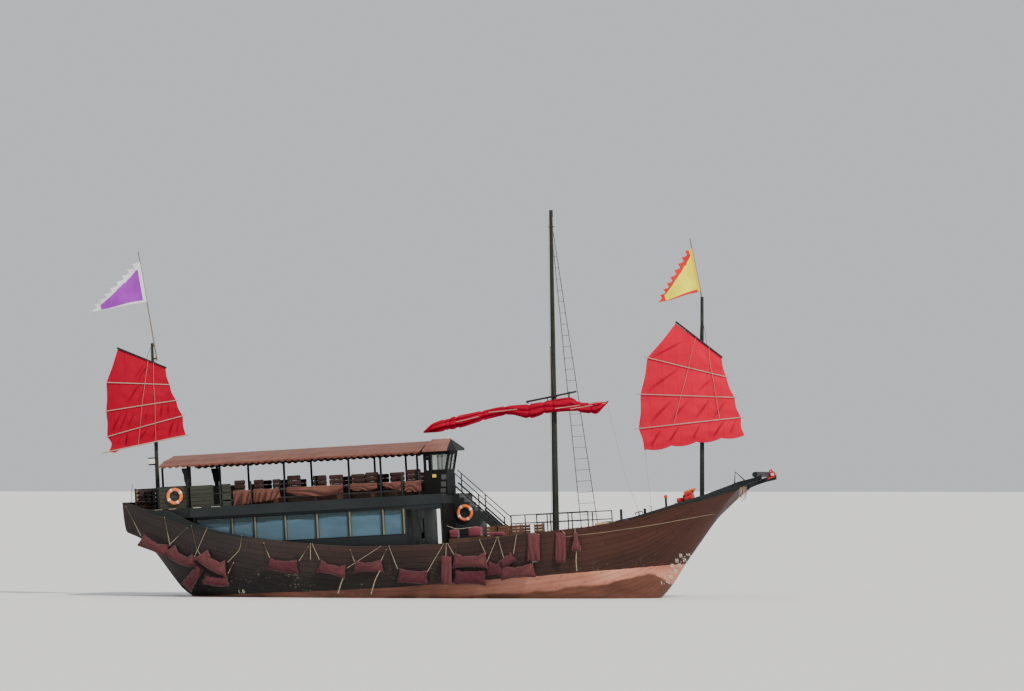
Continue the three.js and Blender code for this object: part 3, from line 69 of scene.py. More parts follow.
class Value:
    """A value in a material's shader. Sums, products and comparisons of values are Math nodes."""

    def __init__(self, paint, socket):
        self.paint, self.socket = paint, socket

    def math(self, operation, *others):
        return self.paint.node("Math", enumerate((self, *others)), operation=operation)

    def __add__(self, other):
        return self.math("ADD", other)

    def __sub__(self, other):
        return self.math("SUBTRACT", other)

    def __rsub__(self, other):
        return self * -1 + other

    def __mul__(self, other):
        return self.math("MULTIPLY", other)

    def __gt__(self, other):
        return self.math("GREATER_THAN", other)

    def __lt__(self, other):
        return self.math("LESS_THAN", other)

    def ranged(self, low, high, bottom=0.0, top=1.0):
        """Bottom at the low value, top at the high one, even between them and level beyond them."""
        return self.paint.node("MapRange", [("Value", self), (1, low), (2, high), (3, bottom), (4, top)])

    def to_edge(self):
        """How far the value is from the nearest whole number."""
        part = self.math("FRACT")
        return part.math("MINIMUM", 1 - part)


class Paint:
    """A material with short calls for the nodes of its shader."""

    def __init__(self, name, colour=(0.5, 0.5, 0.5), roughness=0.5, metallic=0.0, **sockets):
        self.material = bpy.data.materials.new(name)
        self.material.use_nodes = True
        self.shader = self.material.node_tree.nodes["Principled BSDF"]
        self.feed("Base Color", colour)
        self.feed("Roughness", roughness)
        self.feed("Metallic", metallic)
        for socket, value in sockets.items():
            self.feed(socket.replace("_", " "), value)

    def plug(self, socket, value):
        """Joins another node's output to a socket, or sets its plain value."""
        if isinstance(value, Value):
            self.material.node_tree.links.new(value.socket, socket)
        else:
            socket.default_value = (*value, 1) if socket.type == "RGBA" else value

    def feed(self, socket, value):
        self.plug(self.shader.inputs[socket], value)

    def node(self, kind, inputs=(), output=0, **settings):
        """An output of one new node: settings are its properties, inputs are (input, value) pairs."""
        made = self.material.node_tree.nodes.new("ShaderNode" + kind)
        for key, value in settings.items():
            setattr(made, key, value)
        for key, value in inputs:
            self.plug(made.inputs[key], value)
        return Value(self, made.outputs[output])

    def at(self, kind="Object"):
        return self.node("TexCoord", output=kind)

    def axes(self, vector=None):
        """The three parts of a vector, or of the place in the piece's own frame."""
        split = self.node("SeparateXYZ", [(0, vector or self.at())]).socket.node
        return [Value(self, output) for output in split.outputs]

    def joined(self, *parts):
        return self.node("CombineXYZ", enumerate(parts))

    def noise(self, vector, scale, detail, roughness=0.5):
        inputs = [("Vector", vector), ("Scale", scale), ("Detail", detail), ("Roughness", roughness)]
        return self.node("TexNoise", inputs)

    def worn(self, scale, low, high, detail=4, stretch=(1, 1, 1)):
        """Soft noise on the piece's own coordinates, from low to high: for tone, dirt and fading."""
        turned = self.node("Mapping", [("Vector", self.at()), ("Scale", stretch)])
        return self.noise(turned, scale, detail).ranged(0.3, 0.7, low, high)

    def chance(self, *cell):
        """A random number from 0 to 1 for each cell, which two whole numbers name."""
        return self.node("TexWhiteNoise", [("Vector", self.joined(*cell))], noise_dimensions="2D")

    def attribute(self, name):
        return self.node("Attribute", output="Fac", attribute_name=name)

    def mix(self, share, a, b):
        """Two colours mixed by a share from 0 to 1."""
        return self.node("Mix", [(0, share), (6, a), (7, b)], output=2, data_type="RGBA")

    def recolour(self, share, over):
        """Mixes a colour over the present one."""
        now = self.shader.inputs["Base Color"].links[0].from_socket
        self.feed("Base Color", self.mix(share, Value(self, now), over))

    def bump(self, height, strength, distance):
        """Raises the surface by the distance, in metres, at a height of 1."""
        inputs = [("Height", height), ("Strength", strength), ("Distance", distance)]
        self.feed("Normal", self.node("Bump", inputs))


floor_mesh = bpy.data.meshes.new("floor")
floor_mesh.from_pydata(
    [(-1500, -1500, 0), (1500, -1500, 0), (1500, 1500, 0), (-1500, 1500, 0)], [], [(0, 1, 2, 3)]
)
floor = bpy.data.objects.new("floor", floor_mesh)
bpy.context.scene.collection.objects.link(floor)
floor_mesh.materials.append(Paint("floor", (0.80, 0.80, 0.79), 0.9).material)

world = bpy.data.worlds.new("studio")
bpy.context.scene.world = world
world.use_nodes = True
world.node_tree.nodes["Background"].inputs["Color"].default_value = (0.86, 0.89, 0.93, 1)
world.node_tree.nodes["Background"].inputs["Strength"].default_value = 0.72
for name, toward, strength, spread, colour in (
    ("key", (-0.58, 0.50, -0.66), 3.7, 4, (1.0, 0.95, 0.87)),
    ("fill", (0.4, 0.9, -0.25), 0.35, 40, (0.95, 0.97, 1.0)),
):
    lamp = bpy.data.lights.new(name, "SUN")
    lamp.energy, lamp.angle, lamp.color = strength, math.radians(spread), colour
    held = bpy.data.objects.new(name, lamp)
    held.rotation_euler = Vector(toward).to_track_quat("-Z", "Y").to_euler()
    bpy.context.scene.collection.objects.link(held)

# Hull
# Carvel planking over frames, oiled red-brown above and tarred near the water, with a salmon boot-top.
# The planks run fair from the transom to the bow; the bulwark is the same skin carried above the decks.
TRIM = math.radians(3.2)
SIDES = ((-1, "starboard"), (1, "port"))
# Columns: x, keel height, half width of the flat bottom, sheer height, half breadth at the sheer, fullness
STATIONS = np.array(
    [
        (-13.5, 3.52, 1.8, 4.8, 2.4, 0.75), (-13.0, 3.18, 1.2, 4.64, 2.45, 0.75),
        (-12.5, 2.56, 0.7, 4.43, 2.52, 0.75), (-12.2, 2.08, 0.45, 4.39, 2.57, 0.78),
        (-11.75, 1.35, 0.25, 4.33, 2.64, 0.8), (-11.4, 0.87, 0.18, 4.28, 2.7, 0.82),
        (-10.9, 0.52, 0.15, 4.05, 2.77, 0.84), (-10.3, 0.33, 0.15, 3.72, 2.85, 0.86),
        (-9.5, 0.12, 0.15, 3.43, 2.95, 0.88), (-8.5, -0.22, 0.15, 3.17, 3.06, 0.9),
        (-7.0, -0.65, 0.15, 2.87, 3.18, 0.93), (-5.0, -0.93, 0.15, 2.56, 3.29, 0.95),
        (-2.5, -1.08, 0.15, 2.32, 3.37, 0.96), (1.0, -1.12, 0.15, 2.27, 3.4, 0.96),
        (2.5, -1.11, 0.15, 2.37, 3.37, 0.96), (4.0, -1.1, 0.15, 2.49, 3.33, 0.94),
        (6.5, -1.03, 0.15, 2.64, 3.1, 0.85), (8.0, -0.92, 0.1, 2.8, 2.83, 0.62),
        (8.7, -0.78, 0.06, 2.9, 2.66, 0.52), (9.2, -0.52, 0.05, 3.01, 2.53, 0.45),
        (9.65, -0.09, 0.05, 3.11, 2.4, 0.4), (10.39, 0.91, 0.05, 3.29, 2.19, 0.33),
        (11.1, 1.8, 0.05, 3.46, 1.99, 0.28), (11.78, 2.65, 0.06, 3.62, 1.81, 0.3),
        (12.25, 3.15, 0.6, 3.735, 1.68, 0.3), (12.7, 3.59, 1.05, 3.845, 1.56, 0.4),
        (13.05, 3.88, 1.38, 3.92, 1.47, 0.5)
    ]
)
PLANK = 0.11
MAIN_DECK, BOW_DECK, BOW_HEAD, AFT_TOP, POOP_DECK = 1.55, 2.45, 3.35, 3.95, 4.35
STRAKES = 22


def fair(table, x):
    """Smooth curve through a table's rows, read at x: cubic pieces whose slope at a row is the harmonic mean
    of the slopes on either side, or 0 where these differ in sign, so that it never swings past the rows."""
    at, rows = table[:, 0], table[:, 1:]
    step = np.diff(at)
    slope = np.diff(rows, axis=0) / step[:, None]
    both = slope[1:] * slope[:-1]
    bend = np.zeros_like(rows)
    bend[1:-1] = np.where(both > 0, 2 * both / np.where(both > 0, slope[1:] + slope[:-1], 1), 0)
    bend[0], bend[-1] = slope[0], slope[-1]
    x = np.asarray(x, float)
    i = np.clip(np.searchsorted(at, x, "right") - 1, 0, len(at) - 2)
    t = ((x - at[i]) / step[i])[..., None]
    h = step[i][..., None]
    return (
        rows[i] * (1 + 2 * t) * (1 - t) ** 2
        + bend[i] * h * t * (1 - t) ** 2
        + rows[i + 1] * t * t * (3 - 2 * t)
        + bend[i + 1] * h * t * t * (t - 1)
    )


def half_section(x, t):
    """Half breadth and height of the hull at x, from keel (t = 0) to sheer (t = 1): the height is keel +
    (sheer - keel) t, the half breadth flat + (beam - flat)(f round + (1 - f) t), where round = (1 - (1 -
    t)^2.6)^(1/2.6)."""
    keel, flat, sheer, beam, full = np.moveaxis(fair(STATIONS, x), -1, 0)
    rounded = (1 - np.clip(1 - t, 0, 1) ** 2.6) ** (1 / 2.6)
    return flat + (beam - flat) * (full * rounded + (1 - full) * t), keel + (sheer - keel) * t


def breadth_at(x, z):
    """Half breadth of the hull at x and height z."""
    keel, sheer = fair(STATIONS, x)[..., 0], fair(STATIONS, x)[..., 2]
    return half_section(x, np.clip((z - keel) / (sheer - keel), 0, 1))[0]


def sheer_at(x):
    return fair(STATIONS, x)[..., 2]


def by_girth(x, shares):
    """The t of half_section at the given shares of the girth, for each x: the girth is summed over 96 short
    steps and read back between them."""
    t = np.linspace(0, 1, 97) ** 2.2
    y, z = half_section(x[:, None], t[None, :])
    run = np.concatenate([np.zeros((len(x), 1)), np.cumsum(np.hypot(np.diff(y), np.diff(z)), 1)], 1)
    run /= run[:, -1:]
    i = np.clip((run[:, :, None] <= shares[None, None, :]).sum(1) - 1, 0, 95)
    a, b = np.take_along_axis(run, i, 1), np.take_along_axis(run, i + 1, 1)
    return t[i] + (shares - a) / (b - a) * (t[i + 1] - t[i])


def grid_faces(rows, cols, round_rows=False, round_cols=False):
    """Four-sided faces of a grid of points stored row by row, joined round where it closes on itself."""
    r = np.arange(rows if round_rows else rows - 1)[:, None]
    c = np.arange(cols if round_cols else cols - 1)[None, :]
    r1, c1 = (r + 1) % rows, (c + 1) % cols
    return np.stack([r * cols + c, r * cols + c1, r1 * cols + c1, r1 * cols + c], -1).reshape(-1, 4).tolist()


def ringed(rings):
    """Points and faces of a row of closed rings, with an end face on the first and the last."""
    n, k = rings.shape[:2]
    ends = [list(range(k))[::-1], list(range((n - 1) * k, n * k))]
    return rings.reshape(-1, 3), grid_faces(n, k, round_cols=True) + ends


def together(parts):
    """Several (points, faces) as one, the later faces counted on from the earlier points."""
    points, faces, start = [], [], 0
    for p, f in parts:
        points.append(p)
        faces += [[i + start for i in face] for face in f]
        start += len(p)
    return np.concatenate(points), faces


def level_to_row(points):
    """Points of the level boat, turned bow-up by the trim: x cos - z sin, y, x sin + z cos."""
    c, s = math.cos(TRIM), math.sin(TRIM)
    x, y, z = np.asarray(points, float).T
    return np.stack([x * c - z * s, y, x * s + z * c], 1)


def make(name, shape, finish, slot, body="boat", replaces=(), smooth=40, uv=None, **values):
    """One piece from (points, faces): its mesh in the row frame with outward faces, its finish, its body."""
    points, faces = shape
    mesh = bpy.data.meshes.new(name)
    mesh.from_pydata(level_to_row(points).tolist(), [], faces)
    for key, value in values.items():
        mesh.attributes.new(key, "FLOAT", "POINT").data.foreach_set(
            "value", np.asarray(value, np.float32).ravel()
        )
    if uv is not None:
        corner = np.zeros(len(mesh.loops), int)
        mesh.loops.foreach_get("vertex_index", corner)
        mesh.uv_layers.new(name="cloth").data.foreach_set("uv", np.asarray(uv, np.float32)[corner].ravel())
    work = bmesh.new()
    work.from_mesh(mesh)
    bmesh.ops.remove_doubles(work, verts=work.verts, dist=1e-5)
    bmesh.ops.recalc_face_normals(work, faces=work.faces)
    work.to_mesh(mesh)
    work.free()
    piece = bpy.data.objects.new(name, mesh)
    bpy.context.scene.collection.objects.link(piece)
    mesh.materials.append(finish.material)
    mesh.shade_smooth()
    if smooth < 180:
        mesh.set_sharp_from_angle(angle=math.radians(smooth))
    if body:
        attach(piece, body)
    if replaces:
        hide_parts(*replaces)
    return piece


# Height of the boot-top's upper edge above the level frame's zero, along the boat
BOOT_TOP = np.array(
    [
        (-13.5, 0.66), (-8.5, 0.62), (-4.4, 0.56), (-1.4, 0.55), (2.3, 0.67), (4.4, 0.7), (6.7, 0.78),
        (7.8, 0.8), (10.4, 0.88), (13.1, 0.9)
    ]
)
# Height to which the bow wave keeps the paint wet and brown
TIDE = np.array(
    [
        (-13.5, 0.10), (-4.0, 0.03), (1.6, 0.02), (4.6, 0.03), (5.4, 0.08), (7.1, 0.22), (8.1, 0.37),
        (9.27, 0.48), (9.6, 0.30), (9.8, 0.09), (10.4, -0.3), (13.1, -1)
    ]
)
# Lower edge of the green bands: the one that the quarter carries down from the upper deck, and the bow's
# top strake
GREEN_LINE = np.array(
    [
        (-12.6, 4.43), (-12.33, 4.323), (-11.551, 4.003), (-10.685, 3.661), (-10.077, 3.475),
        (-9.078, 3.187), (-8.077, 2.975), (-7.4, 2.93), (-7.39, 9), (10.39, 9), (10.4, 3.31), (11.45, 3.47),
        (12.08, 3.62), (12.76, 3.79), (13.05, 3.86)
    ]
)


def deck_height(x):
    """Height of the deck inside the bulwarks at x, stepped from stern to bow, and never above the rail."""
    step = np.select(
        [x < -12.4, x < -10.4, x < 8.0, x < 11.4], [POOP_DECK, AFT_TOP, MAIN_DECK, BOW_DECK], BOW_HEAD
    )
    keel, sheer = fair(STATIONS, x)[..., 0], sheer_at(x)
    return np.minimum(np.maximum(step, keel + PLANK), sheer - 0.015)


def hull_planks():
    """Dark red-brown planks, each a little different, with faint seams and butts, redder at the bow and
    tarred towards the stern and the water, with flaked specks; a green band on the quarter; salmon paint
    below the boot-top line, brown where the bow wave wets it."""
    m = Paint("hull_planks", roughness=0.5, Specular_IOR_Level=0.22)
    plank, boot, band, tide, deck = (m.attribute(name) for name in ("plank", "boot", "band", "tide", "deck"))
    x = m.axes(m.at("UV"))[0]
    strake = plank.math("FLOOR")
    along = x * (1 / 5.6) + strake * 0.37
    each = m.chance(strake, along.math("FLOOR"))
    grain = m.noise(m.joined(x * 0.8, plank * 8.0, strake), 1.6, 6, 0.65)
    cloud = m.worn(0.55, 0.0, 1.0, detail=5, stretch=(0.5, 1, 1.4))
    tone = each * 0.22 + grain * 0.42 + cloud * 0.36
    ahead, across, _ = m.axes()
    wood = m.mix(tone.ranged(0.15, 0.85), (0.0115, 0.0065, 0.0055), (0.0400, 0.0185, 0.0145))
    red = m.mix(tone, (0.030, 0.0095, 0.0062), (0.098, 0.031, 0.018))
    grey = m.mix(tone, (0.014, 0.013, 0.013), (0.040, 0.038, 0.037))
    wood = m.mix(ahead.ranged(2.0, 12.0), wood, red)
    wood = m.mix(ahead.ranged(-9.0, -2.0, 0.5, 0.0), wood, grey)
    seam = plank.to_edge().math("MINIMUM", along.to_edge() * 5.6).ranged(0.0, 0.045, 1.0, 0.0)
    wood = m.mix(seam * 0.45, wood, (0.009, 0.006, 0.005))
    # tar: darker towards the stern and low on the side
    aft = ahead.ranged(-8.0, 5.0, 0.85, 0.12)
    low = (boot + m.worn(0.9, -0.3, 0.3)).ranged(0.35, 1.25, 1.0, 0.0)
    wood = m.mix(low * (aft + 0.12), wood, (0.0085, 0.0085, 0.0072))
    flakes = m.worn(0.7, 0.0, 1.0) * 0.12 + m.noise(m.at(), 8.0, 5, 0.8) > 0.70
    wood = m.mix(flakes * low * (aft + 0.2) * 0.75, wood, (0.36, 0.31, 0.21))
    green = m.mix(cloud, (0.0070, 0.0115, 0.0110), (0.016, 0.023, 0.022))
    wood = m.mix((band + m.worn(3.0, -0.015, 0.015)).ranged(-0.01, 0.01), wood, green)
    # boot-top paint
    tone = m.worn(1.3, 0.0, 1.0, stretch=(0.35, 1, 1.6))
    dull = m.mix(tone, (0.072, 0.029, 0.020), (0.17, 0.066, 0.044))
    bright = m.mix(tone, (0.45, 0.170, 0.112), (0.62, 0.28, 0.20))
    paint = m.mix(ahead.ranged(0.0, 7.5), dull, bright)
    paint = m.mix(m.noise(m.at(), 5.0, 6, 0.75).ranged(0.56, 0.66, 0.0, 0.55), paint, (0.20, 0.065, 0.04))
    water = (tide + m.worn(1.1, -0.14, 0.14, stretch=(0.5, 1, 1))).ranged(-0.05, 0.05, 0.0, 0.92)
    paint = m.mix(water, paint, m.mix(tone, (0.055, 0.022, 0.014), (0.15, 0.055, 0.034)))
    below = (boot + m.worn(2.5, -0.012, 0.012)).ranged(-0.008, 0.008, 1.0, 0.0)
    # the laid decks inside
    row = across * (1 / 0.14)
    own = m.chance(row.math("FLOOR"), (ahead * (1 / 3.3) + row.math("FLOOR") * 0.41).math("FLOOR"))
    laid = m.mix(own * 0.5 + cloud * 0.5, (0.085, 0.046, 0.028), (0.20, 0.125, 0.080))
    laid = m.mix(row.to_edge() < 0.035, laid, (0.014, 0.011, 0.009))
    m.feed("Base Color", m.mix(deck > 0.97, m.mix(below, wood, paint), laid))
    m.feed("Roughness", grain * 0.3 + 0.45)
    m.bump(grain * 0.3 - seam, 0.6, 0.008)
    return m


hull_x = np.unique(np.concatenate([
    np.linspace(-13.5, 13.05, 170), [-12.401, -12.399, -10.401, -10.399, 7.999, 8.001, 11.399, 11.401],
]))
seam_shares = (np.arange(STRAKES + 1)[:, None] + np.array([[-0.035, 0.0, 0.035, 0.5]])).ravel() / STRAKES
seam_shares = np.unique(np.clip(seam_shares, 0, 1))
seam_t = by_girth(hull_x, seam_shares)
side_y, side_z = half_section(hull_x[:, None], seam_t)
in_seam = np.abs(seam_shares * STRAKES - np.round(seam_shares * STRAKES)) < 1e-6
in_seam &= (seam_shares > 0) & (seam_shares < 1)
side_y = side_y - 0.006 * in_seam
rail_z, deck_z = sheer_at(hull_x), deck_height(hull_x)
ceiling_z = rail_z[:, None] + (deck_z - 0.012 - rail_z)[:, None] * np.linspace(0, 1, 7)[None, :]
ceiling_y = np.maximum(breadth_at(hull_x[:, None], ceiling_z) - PLANK, 0.02)
rail_soft = 0.012  # the rail's edges are eased
half_y = np.concatenate([side_y, side_y[:, -1:] - rail_soft, ceiling_y[:, :1] + rail_soft, ceiling_y], 1)
rail_rows = np.stack([rail_z - rail_soft, rail_z, rail_z, rail_z - rail_soft], 1)
half_z = np.concatenate([side_z[:, :-1], rail_rows, ceiling_z[:, 1:]], 1)
hull_x_grid = np.broadcast_to(hull_x[:, None], half_y.shape)
starboard_half = np.stack([hull_x_grid, -half_y, half_z], -1)
port_half = np.stack([hull_x_grid, half_y, half_z], -1)
plank_row = np.concatenate([seam_shares * STRAKES, np.full(half_y.shape[1] - len(seam_shares), STRAKES + 0.5)])
rings = np.concatenate([port_half[:, ::-1], starboard_half], 1)
plank_ring = np.broadcast_to(np.concatenate([plank_row[::-1], plank_row]), rings.shape[:2])
boot_ring = rings[..., 2] - np.interp(rings[..., 0], BOOT_TOP[:, 0], BOOT_TOP[:, 1])
tide_ring = np.interp(rings[..., 0], TIDE[:, 0], TIDE[:, 1]) - rings[..., 2]
deck_ring = np.zeros(rings.shape[:2])
deck_ring[:, [0, -1]] = 1
band_ring = rings[..., 2] - np.interp(rings[..., 0], GREEN_LINE[:, 0], GREEN_LINE[:, 1], left=9)
hull_points, hull_faces = ringed(rings)
make(
    "hull_planking", (hull_points, hull_faces), hull_planks(), "hullWood", smooth=28,
    replaces=("hull", "bulwark_starboard", "bulwark_port", "bow_bulwark", "poop_bulwark"),
    uv=hull_points[:, [0, 2]], plank=plank_ring, boot=boot_ring, tide=tide_ring, band=band_ring,
    deck=deck_ring
)


def eased_box(low, high, soft=0.006):
    """A box whose edges are cut back: four rings of eight points, the first and last drawn in."""
    (x0, y0, z0), (x1, y1, z1) = low, high
    s = soft

    def ring(z, d):
        xs = [x0 + d + s, x1 - d - s, x1 - d, x1 - d, x1 - d - s, x0 + d + s, x0 + d, x0 + d]
        ys = [y0 + d, y0 + d, y0 + d + s, y1 - d - s, y1 - d, y1 - d, y1 - d - s, y0 + d + s]
        return np.stack([xs, ys, np.full(8, z)], 1)

    return ringed(np.stack([ring(z0, s), ring(z0 + s, 0), ring(z1 - s, 0), ring(z1, s)]))


def tube(path, radius, sides=8):
    """A round rod along a path: at each of its points a ring of the radius, square to the way the path
    runs."""
    path = np.asarray(path, float)
    ahead = np.gradient(path, axis=0)
    ahead /= np.linalg.norm(ahead, axis=1, keepdims=True)
    across = np.cross(ahead, np.eye(3)[np.argmin(np.abs(ahead).max(0))])
    across /= np.linalg.norm(across, axis=1, keepdims=True)
    other = np.cross(ahead, across)
    turn = np.arange(sides) * 2 * np.pi / sides
    wide = np.broadcast_to(radius, len(path))[:, None, None]
    rings = path[:, None] + wide * (
        np.cos(turn)[None, :, None] * across[:, None] + np.sin(turn)[None, :, None] * other[:, None]
    )
    return ringed(rings)


def curve(points, count):
    """A smooth line through a few points, read off at a count of even steps."""
    points = np.asarray(points, float)
    table = np.column_stack([np.arange(len(points)), points])
    return fair(table, np.linspace(0, len(points) - 1, count))


def bent(points, count, radius, sides=8):
    """A rod that bends smoothly through a few points."""
    return tube(curve(points, count), radius, sides)


def mesh_area(points, faces):
    """The area of four-sided faces: half the length of the cross product of the diagonals."""
    p, f = np.asarray(points), np.asarray(faces)
    return float(
        0.5 * np.linalg.norm(np.cross(p[f[:, 2]] - p[f[:, 0]], p[f[:, 3]] - p[f[:, 1]]), axis=1).sum()
    )


def box_of(low, high, soft=0.006):
    """eased_box with its corners given in any order."""
    return eased_box(np.minimum(low, high), np.maximum(low, high), soft)


def ball(centre, radius, rings=16, sides=24):
    """A round ball: rings from pole to pole."""
    a = np.linspace(-0.49, 0.49, rings)[:, None] * np.pi
    b = np.linspace(0, 2 * np.pi, sides, endpoint=False)[None, :]
    return ringed(
        np.asarray(centre) + radius
        * np.stack([np.cos(a) * np.cos(b), np.cos(a) * np.sin(b), np.sin(a) * np.ones_like(b)], -1)
    )


def painted_wood(name, colour, chalk, roughness=0.55):
    """Oil paint brushed on wood: faint brush lines, chalky fading, small chips that show a lighter ground."""
    m = Paint(name, colour, roughness, Specular_IOR_Level=0.25)
    fade = m.worn(1.1, 0.0, 0.55, stretch=(0.5, 1, 1))
    brush = m.worn(14, 0.0, 1.0, detail=3, stretch=(0.12, 1, 1))
    chips = m.noise(m.at(), 21.0, 6, 0.75) > 0.70
    m.feed("Base Color", m.mix(fade, colour, chalk))
    m.recolour(brush * 0.35, tuple(0.55 * c for c in colour))
    m.recolour(chips * 0.5, tuple(min(1, 0.10 + 2.2 * c) for c in colour))
    m.feed("Roughness", fade * 0.25 + (roughness - 0.08))
    m.bump(brush - chips, 0.35, 0.002)
    return m


def boards(name, dark, light, seam, wide, along=0):
    """Boards that run along one axis, side by side across the boat, each of its own tone, with dark caulked
    seams and grain."""
    m = Paint(name, light, 0.7, Specular_IOR_Level=0.3)
    at = m.axes()
    row = at[1] * (1 / wide)
    board = row.math("FLOOR")
    each = m.chance(board, (at[along] * (1 / 3.1) + board * 0.41).math("FLOOR"))
    grain = m.noise(m.joined(at[along] * 0.8, row * 3.0, board), 3.0, 5, 0.7)
    line = row.to_edge().ranged(0.0, 0.06, 1.0, 0.0)
    m.feed("Base Color", m.mix(line * 0.85, m.mix(each * 0.5 + grain * 0.5, dark, light), seam))
    m.feed("Roughness", grain * 0.25 + 0.55)
    m.bump(grain * 0.3 - line, 0.6, 0.005)
    return m


def finish_of(paint, *cad_nodes):
    """Gives carried-over CAD pieces their finish."""
    for cad_node in cad_nodes:
        piece = bpy.data.objects[cad_node]
        piece.data.materials.clear()
        piece.data.materials.append(paint.material)


GREEN, GREEN_CHALK = (0.0052, 0.0080, 0.0085), (0.0165, 0.0220, 0.0225)
green_paint = painted_wood("green_paint", GREEN, GREEN_CHALK)
deck_boards = boards("deck_boards", (0.10, 0.055, 0.033), (0.24, 0.150, 0.095), (0.015, 0.012, 0.010), 0.14)

# Hull fittings
# Nailed to the planking: a beige half-round moulding along each bow, cut metal figures for the draught, a
# worn copper strip round the lower edge of the quarter, and a pale broken line along the upper deck's edge.
MOULDING = np.array(
    [
        (5.661, 2.273), (6.5, 2.332), (7.326, 2.378), (8.146, 2.449), (8.958, 2.529), (9.736, 2.615),
        (10.354, 2.701), (10.883, 2.775), (11.401, 2.85), (11.878, 2.913)
    ]
)
# Strokes of the figures, in a box one wide and one high. Columns: x0, z0, x1, z1
STROKES = {
    "a": (0, 1, 1, 1), "b": (1, 1, 1, 0.5), "c": (1, 0.5, 1, 0), "d": (0, 0, 1, 0), "e": (0, 0.5, 0, 0),
    "f": (0, 1, 0, 0.5), "g": (0, 0.5, 1, 0.5), ".": (0.4, 0, 0.6, 0)
}
FIGURES = {"0": "abcdef", "1": "bc", "2": "abged", "4": "fgbc", "6": "afgedc", "8": "abcdefg", ".": "."}
# Places of the draught figures. Columns: text, x and z of the middle
DRAUGHT = (
    ("2.4", 10.45, 1.238), ("2.2", 10.28, 1.032), ("2.0", 10.08, 0.828), ("1.8", 9.90, 0.610),
    ("1.6", 9.70, 0.372), ("1.4", 9.54, 0.139), ("1.6", -8.483, 0.72)
)
pale_paint = painted_wood("pale_paint", (0.60, 0.56, 0.45), (0.74, 0.70, 0.60), 0.6)
moulding_paint = painted_wood("moulding_paint", (0.17, 0.120, 0.075), (0.30, 0.23, 0.15), 0.6)
worn_copper = painted_wood("worn_copper", (0.16, 0.058, 0.026), (0.24, 0.11, 0.06), 0.6)


def stroke(x0, z0, x1, z1, side):
    """One flat bar of a figure laid on the planking: four corners round the line, 22 mm wide, 8 mm thick."""
    long = math.hypot(x1 - x0, z1 - z0)
    dx, dz = (x1 - x0) / long * 0.011, (z1 - z0) / long * 0.011
    t = np.linspace(0, 1, 4)[:, None]
    wide, out = np.array([[-1, 1, 1, -1]]), np.array([[-0.004, -0.004, 0.005, 0.005]])
    x = x0 - dx + (x1 - x0 + 2 * dx) * t - dz * wide
    z = z0 - dz + (z1 - z0 + 2 * dz) * t + dx * wide
    return ringed(np.stack([x, side * (breadth_at(x, z) + out), z], -1))


def figures(text, x, z, side):
    """The bars of a text of figures round a place on the side, read from outside the boat."""
    for k, sign in enumerate(text):
        middle = x - side * (k - 1) * 0.125
        for part in FIGURES[sign]:
            x0, z0, x1, z1 = STROKES[part]
            foot, head = middle - side * (x0 - 0.5) * 0.075, middle - side * (x1 - 0.5) * 0.075
            yield stroke(foot, z + (z0 - 0.5) * 0.12, head, z + (z1 - 0.5) * 0.12, side)


def deck_edge(x, side):
    """A place on the upper deck's edge, which stands further out ahead of the quarter."""
    out = np.interp(x, [-12.4, -10.4], [2.23, 2.69]) + 0.17 * (x > -10.4)
    return x, side * (out + 0.008), 4.388


for side, name in SIDES:
    x, z = np.moveaxis(curve(MOULDING, 60), -1, 0)
    make(
        f"moulding_{name}", tube(np.stack([x, side * (breadth_at(x, z) + 0.004), z], 1), 0.014, 8),
        moulding_paint, "battenWood"
    )
    marks = [mark for place in DRAUGHT for mark in figures(*place, side)]
    make(f"draught_figures_{name}", together(marks), pale_paint, "battenWood")
    x = np.linspace(-13.495, -12.3, 30)
    lower = fair(STATIONS, x)
    edge = tube(np.stack([x, side * (lower[:, 1] + 0.004), lower[:, 0] + 0.004], 1), 0.028, 8)
    dashes = ((-12.40, -11.76), (-11.45, -11.10), (-10.26, -9.90), (-9.46, -9.05))
    lines = [tube([deck_edge(x0, side), deck_edge(x1, side)], 0.009, 6) for x0, x1 in dashes]
    make(f"edge_lines_{name}", together(lines), pale_paint, "battenWood")
    make(f"quarter_strip_{name}", edge, worn_copper, "bronze")
    plate = box_of((-5.80, side * 3.15, 2.03), (-5.50, side * 3.262, 2.10))
    make(f"side_plate_{name}", plate, green_paint, "darkGreen")

# Keel, rudder and propeller
# A hardwood keel with deadwood and a shoe, all under the water and coated with bottom paint; the rudder is
# a thick wooden blade on a steel stock; the propeller is cast bronze on a shaft through the deadwood.
bottom_paint = painted_wood("bottom_paint", (0.22, 0.058, 0.038), (0.34, 0.13, 0.09), 0.75)
finish_of(bottom_paint, "keel", "rudder")
bronze = Paint("bronze", (0.33, 0.19, 0.07), 0.32, 1.0)
bronze.feed("Base Color", bronze.mix(bronze.worn(9, 0, 1), (0.33, 0.19, 0.07), (0.16, 0.15, 0.08)))
bronze.feed("Roughness", bronze.worn(14, 0.25, 0.5))
finish_of(bronze, "propeller")

# Bow wings, crossbeam and windlass
# The two wings are thick shaped timbers that carry the sheer on past the stem to a round crossbeam between
# their tips, all painted near-black green. The windlass is a wooden drum on an iron axle between two bolted
# cheeks.
finish_of(green_paint, "bow_wing_starboard", "bow_wing_port", "bow_crossbeam")
finish_of(green_paint, "windlass_cheek_starboard", "windlass_cheek_port")
finish_of(deck_boards, "windlass_drum")

